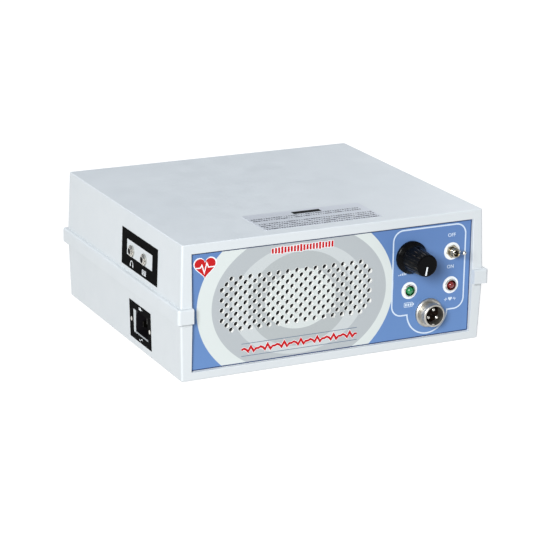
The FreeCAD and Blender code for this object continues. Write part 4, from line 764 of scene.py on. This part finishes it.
# ---- Repeated pieces, made with Geometry Nodes ----
def new_tree(name, sizes):
    """A Geometry Nodes tree whose inputs are a material and named sizes, and what each size starts at."""
    tree = bpy.data.node_groups.new(name, "GeometryNodeTree")
    tree.interface.new_socket("Geometry", in_out="OUTPUT", socket_type="NodeSocketGeometry")
    for label, value in sizes.items():
        kind = "NodeSocketInt" if isinstance(value, int) else "NodeSocketFloat"
        tree.interface.new_socket(label, in_out="INPUT", socket_type=kind).default_value = value
    tree.interface.new_socket("Material", in_out="INPUT", socket_type="NodeSocketMaterial")
    return tree


def finish_tree(tree, geometry, material):
    real = add(tree, "GeometryNodeRealizeInstances", {"Geometry": geometry})
    named = add(tree, "GeometryNodeSetMaterial", {"Geometry": real, "Material": material})
    add(tree, "NodeGroupOutput", {"Geometry": named})
    return tree


def grown(name, tree, material, placed, sizes=None, smooth=False):
    """Runs a tree on an empty mesh, with the sizes that differ, and keeps a plain mesh in metres."""
    holder = bpy.data.objects.new(name, bpy.data.meshes.new(name))
    bpy.context.scene.collection.objects.link(holder)
    modifier = holder.modifiers.new(name, "NODES")
    modifier.node_group = tree
    values = {**(sizes or {}), "Material": material}
    for item in tree.interface.items_tree:
        if item.in_out == "INPUT" and item.name in values:
            modifier[item.identifier] = values[item.name]
    bpy.context.view_layer.update()
    seen = holder.evaluated_get(bpy.context.evaluated_depsgraph_get())
    mesh = bpy.data.meshes.new_from_object(seen)
    bpy.data.objects.remove(holder)
    mesh.transform(placed)
    mesh.transform(Matrix.Scale(MM, 4))
    if smooth:
        mesh.polygons.foreach_set("use_smooth", [True] * len(mesh.polygons))
    add_piece(name, mesh, material)


TONE_ROW = (-46.4, -2.4)    # from the middle of the first bar to that of the last
TONE_HEIGHT = 81.2
TONE_BARS = 20


def tone_bar_tree(sizes):
    """A row of upright bars whose heights rise and fall like a sound."""
    swell_turn, ripple_turn = 0.55, 2.1     # radians from bar to bar
    shortest = 0.7                          # as a share of the tallest
    tree = new_tree("tone bars", sizes)
    given = add(tree, "NodeGroupInput").outputs
    index = add(tree, "GeometryNodeInputIndex")
    slow = add(tree, "Math", {0: index, 1: swell_turn}, operation="MULTIPLY")
    fast = add(tree, "Math", {0: index, 1: ripple_turn}, operation="MULTIPLY")
    swell = add(tree, "Math", {0: slow}, operation="SINE")
    ripple = add(tree, "Math", {0: fast}, operation="COSINE")
    both = add(tree, "Math", {0: swell, 1: ripple}, operation="MULTIPLY")
    share = add(tree, "Math", {0: both}, operation="ABSOLUTE")
    height = add(tree, "MapRange", {"Value": share, "To Min": shortest, "To Max": 1.0})
    tall = add(tree, "Math", {0: height, 1: given["Tallest"]}, operation="MULTIPLY")
    step = add(tree, "CombineXYZ", {"X": given["Pitch"]})
    row = add(tree, "GeometryNodeMeshLine", {"Count": given["Bars"], "Offset": step})
    unit = add(tree, "CombineXYZ", {"X": given["Width"], "Y": given["Thickness"], "Z": 1.0})
    bar = add(tree, "GeometryNodeMeshCube", {"Size": unit})
    stretch = add(tree, "CombineXYZ", {"X": 1.0, "Y": 1.0, "Z": tall})
    bars = add(tree, "GeometryNodeInstanceOnPoints", {"Points": row, "Instance": bar, "Scale": stretch})
    return finish_tree(tree, bars, given["Material"])


def make_tone_bars():
    """A row of red bars on white ones, above the perforations."""
    left, right = TONE_ROW
    bars = {"Bars": TONE_BARS, "Pitch": (right - left) / (TONE_BARS - 1), "Width": 1.5, "Tallest": 4.9,
            "Thickness": 4 * INK}
    halo = {"Width": 2.2, "Tallest": 5.7, "Thickness": 2 * INK}
    tree = tone_bar_tree(bars)
    placed = Matrix.Translation((left, FILM_Y, TONE_HEIGHT))
    grown("tone_bars", tree, red_ink, placed)
    grown("tone_bars_halo", tree, white_ink, placed, halo)


def ruled_row_tree(sizes):
    """Rows of short flat dashes of uneven lengths."""
    shortest, longest = 0.2, 0.95       # as shares of the pitch
    tree = new_tree("ruled rows", sizes)
    given = add(tree, "NodeGroupInput").outputs
    spans = []
    for count, pitch in (("Dashes", "Dash pitch"), ("Rows", "Row pitch")):
        gaps = add(tree, "Math", {0: given[count], 1: 1.0}, operation="SUBTRACT")
        spans.append(add(tree, "Math", {0: gaps, 1: given[pitch]}, operation="MULTIPLY"))
    grid = add(tree, "GeometryNodeMeshGrid", {
        "Size X": spans[0], "Size Y": spans[1], "Vertices X": given["Dashes"], "Vertices Y": given["Rows"]})
    length = add(tree, "FunctionNodeRandomValue", {2: shortest, 3: longest, "Seed": given["Seed"]},
                 data_type="FLOAT")
    unit = add(tree, "CombineXYZ", {
        "X": given["Dash pitch"], "Y": given["Dash height"], "Z": given["Thickness"]})
    dash = add(tree, "GeometryNodeMeshCube", {"Size": unit})
    stretch = add(tree, "CombineXYZ", {"X": length, "Y": 1.0, "Z": 1.0})
    dashes = add(tree, "GeometryNodeInstanceOnPoints", {"Points": grid, "Instance": dash, "Scale": stretch})
    return finish_tree(tree, dashes, given["Material"])


LABEL_BAR = (-9.0, 9.6, 11.9, 14.8)         # its sides, from the label's middle
LABEL_DASHES = {"Row pitch": 3.9, "Dash pitch": 1.85, "Dash height": 1.7, "Thickness": 2 * INK}
# Blocks of rows on the top label: name, middle from the label's own, and what they hold
LABEL_ROWS = (
    ("upper_rows", (-2.0, 5.1), {"Rows": 2, "Dashes": 44, "Seed": 3}),
    ("lower_rows", (0.0, -10.6), {"Rows": 4, "Dashes": 46, "Seed": 8}),
)


def make_top_label_print():
    """A black bar over grey ruled rows, where such a label carries its particulars."""
    centre = middle("top_label")
    bar = about((centre.x, centre.y), box_face(*LABEL_BAR))
    printed("top_label_bar", [bar], on_top_label, black_ink)
    tree = ruled_row_tree({**LABEL_DASHES, **LABEL_ROWS[0][2]})
    for name, (across, up), counts in LABEL_ROWS:
        placed = Matrix.Translation((centre.x + across, centre.y + up, high_corner("top_label").z))
        grown(name, tree, grey_ink, placed, counts)


FLANGE_REACH = 2.3          # from the film's face to the front of the socket's flange
# Each thread: its name, finish, the middle of its hole, where it starts, and its sizes
THREADS = (
    ("socket_thread", satin_nickel, SOCKET, FILM_Y - FLANGE_REACH - 1.4,
     {"Radius": 7.93, "Pitch": 1.0, "Length": 4.6, "Ridge": 0.3}),
    ("switch_thread", warm_nickel, SWITCH, low_corner("toggle_nut").y - 0.4,
     {"Radius": 2.92, "Pitch": 0.75, "Length": 3.6, "Ridge": 0.26}),
)
TURN_STEPS = 40             # round one turn of a thread
RIDGE_SIDES = 3


def thread_tree(sizes):
    """A screw thread's ridge: a spiral with a three-sided section."""
    tree = new_tree("thread", {**sizes, "Steps": TURN_STEPS})
    given = add(tree, "NodeGroupInput").outputs
    turns = add(tree, "Math", {0: given["Length"], 1: given["Pitch"]}, operation="DIVIDE")
    spiral = add(tree, "GeometryNodeCurveSpiral", {
        "Resolution": given["Steps"], "Rotations": turns, "Start Radius": given["Radius"],
        "End Radius": given["Radius"], "Height": given["Length"]})
    section = add(tree, "GeometryNodeCurvePrimitiveCircle", {
        "Resolution": RIDGE_SIDES, "Radius": given["Ridge"]})
    ridge = add(tree, "GeometryNodeCurveToMesh", {
        "Curve": spiral, "Profile Curve": section, "Fill Caps": True})
    return finish_tree(tree, ridge, given["Material"])


def make_threads():
    """The ridges on the socket's barrel and the switch's bushing, both pointing forwards."""
    tree = thread_tree(THREADS[0][-1])
    forwards = Vector((0, 0, 1)).rotation_difference(Vector((0, -1, 0))).to_matrix().to_4x4()
    for name, finish, hole, start, sizes in THREADS:
        placed = Matrix.Translation((hole.x, start, hole.z)) @ forwards
        grown(name, tree, finish, placed, sizes)


PERFORATIONS = {"Hole radius": 1.83, "Rim": 0.11, "Pitch": 6.817, "Row pitch": 3.5}
# The end rows, the even rows and the long rows between: holes in a row, rows, and row pitches between them
PERFORATION_ROWS = ((15, 2, 10.0), (16, 5, 2.0), (17, 4, 2.0))
RIM_STEPS = 20              # round one hole


def perforation_tree(sizes):
    """Fine rims round staggered holes."""
    tree = new_tree("perforation rims", sizes)
    given = add(tree, "NodeGroupInput").outputs
    join = add(tree, "GeometryNodeJoinGeometry")
    for holes, rows, row_step in PERFORATION_ROWS:
        width = add(tree, "Math", {0: given["Pitch"], 1: holes - 1.0}, operation="MULTIPLY")
        height = add(tree, "Math", {0: given["Row pitch"], 1: row_step * (rows - 1)}, operation="MULTIPLY")
        grid = add(tree, "GeometryNodeMeshGrid", {
            "Size X": width, "Size Y": height, "Vertices X": holes, "Vertices Y": rows})
        tree.links.new(grid.outputs["Mesh"], join.inputs["Geometry"])
    circle = add(tree, "GeometryNodeCurvePrimitiveCircle", {
        "Resolution": RIM_STEPS, "Radius": given["Hole radius"]})
    section = add(tree, "GeometryNodeCurvePrimitiveCircle", {
        "Resolution": RIDGE_SIDES, "Radius": given["Rim"]})
    rim = add(tree, "GeometryNodeCurveToMesh", {"Curve": circle, "Profile Curve": section})
    rims = add(tree, "GeometryNodeInstanceOnPoints", {"Points": join, "Instance": rim})
    return finish_tree(tree, rims, given["Material"])


def make_perforation_rims():
    placed = Matrix.Translation((SPEAKER.x, FILM_Y, SPEAKER.z)) @ Matrix.Rotation(math.radians(90), 4, "X")
    grown("perforation_rims", perforation_tree(PERFORATIONS), panel_abs, placed, smooth=True)


# ---- Camera, floor and light ----
CAMERA_TURN = -25.929       # degrees round the object from straight in front, towards its left
CAMERA_RISE = 17.2155       # degrees above the horizon
CAMERA_ROLL = 0.7502
CAMERA_DISTANCE = 1509.261
CAMERA_ASIDE = (-2.4356, -9.3178)
CAMERA_AIM = (0.0, -0.6, 46.5)
FOCAL_PIXELS = 2131.12
IMAGE_WIDTH = 533
SENSOR = 36.0


def make_camera():
    turn, rise, roll = (math.radians(a) for a in (CAMERA_TURN, CAMERA_RISE, CAMERA_ROLL))
    back = Vector((math.sin(turn) * math.cos(rise), -math.cos(turn) * math.cos(rise), math.sin(rise)))
    level = (-back).cross(Vector((0, 0, 1))).normalized()
    upright = back.cross(level)
    right = level * math.cos(roll) + upright * math.sin(roll)
    up = upright * math.cos(roll) - level * math.sin(roll)
    place = Vector(CAMERA_AIM) + back * CAMERA_DISTANCE + right * CAMERA_ASIDE[0] + up * CAMERA_ASIDE[1]
    lens = bpy.data.cameras.new("camera")
    lens.sensor_width = SENSOR
    lens.lens = FOCAL_PIXELS / IMAGE_WIDTH * SENSOR
    camera = bpy.data.objects.new("camera", lens)
    turned = Matrix((right, up, back)).transposed().to_4x4()
    camera.matrix_world = Matrix.Translation(place * MM) @ turned
    bpy.context.scene.collection.objects.link(camera)
    bpy.context.scene.camera = camera


# The studio is in metres
FLOOR_REACH = 9.0
FLOOR_GLOW = 0.85
# Each light: its name, where it stands, its size across and its power in watts
LIGHTS = (
    ("key", (-1.95, -2.26, 1.24), 1.0, 116.0),
    ("overhead", (0.0, 0.2, 1.7), 1.2, 4.6),
    ("back", (1.3, 1.2, 1.0), 0.8, 7.0),
    ("backdrop", (-0.4, 2.6, 1.3), 1.5, 8.0),
)
LIGHT_AIM = Vector((0, 0, 0.04))
STUDIO_WALL = "#F2F3F5"     # the plain wall that is seen past the object
# What the object reflects, from straight below to straight above: share of the way, and colour
STUDIO = ((0.0, "#BEBEBE"), (0.44, "#BEBEBE"), (0.51, "#4A4C50"), (0.6, "#66686C"), (0.8, "#A8AEB8"))


def make_floor():
    """A plain pale floor, which doesn't light the object, so the object keeps its contrast."""
    material = start_material("studio floor, matt white")
    finish_material(material, {
        "Base Color": "#8C8C8C", "Roughness": 1.0, "Specular IOR Level": 0.0, "Emission Color": "#FFFFFF",
        "Emission Strength": FLOOR_GLOW})
    mesh = bpy.data.meshes.new("floor")
    corners = [(*corner, 0) for corner in box_face(-FLOOR_REACH, -FLOOR_REACH, FLOOR_REACH, FLOOR_REACH)]
    mesh.from_pydata(corners, [], [(0, 1, 2, 3)])
    dress(mesh, material)
    floor = bpy.data.objects.new("floor", mesh)
    bpy.context.scene.collection.objects.link(floor)
    floor.visible_diffuse = False
    floor.visible_shadow = False


def make_lights():
    for name, place, size, power in LIGHTS:
        light = bpy.data.lights.new(name, "AREA")
        light.size = size
        light.energy = power
        lamp = bpy.data.objects.new(name, light)
        turned = (LIGHT_AIM - Vector(place)).to_track_quat("-Z", "Y").to_matrix().to_4x4()
        lamp.matrix_world = Matrix.Translation(place) @ turned
        bpy.context.scene.collection.objects.link(lamp)


def make_studio():
    """A grey studio to be lit by and to reflect, and a plain pale wall past the object."""
    world = bpy.data.worlds.new("studio")
    world.use_nodes = True
    world.node_tree.nodes.clear()
    direction = add(world, "TexCoord").outputs["Generated"]
    height = add(world, "SeparateXYZ", {"Vector": direction}).outputs["Z"]
    share = add(world, "MapRange", {"Value": height, "From Min": -1.0, "From Max": 1.0})
    walls = add(world, "ValToRGB", {"Fac": share})
    stops = walls.color_ramp.elements
    while len(stops) < len(STUDIO):
        stops.new(1.0)
    for stop, (position, colour) in zip(stops, STUDIO):
        stop.position = position
        stop.color = linear(colour)
    seen = add(world, "LightPath").outputs["Is Camera Ray"]
    colour = add(world, "Mix", {0: seen, COLOUR_A: walls, COLOUR_B: STUDIO_WALL}, data_type="RGBA")
    add(world, "OutputWorld", {"Surface": add(world, "Background", {"Color": colour, "Strength": 1.0})})
    bpy.context.scene.world = world
    bpy.context.scene.view_settings.view_transform = "Standard"


make_camera()
make_floor()
make_lights()
make_studio()
dress_nodes()
make_painted_edge_shadow()
make_control_outline()
make_control_rings()
make_switch_words()
make_battery_mark()
make_beat_mark()
make_volume_mark()
make_heart_emblem()
make_pulse_trace()
make_tone_bars()
make_jack_marks()
make_inlet_marks()
make_top_label_print()
make_threads()
make_perforation_rims()
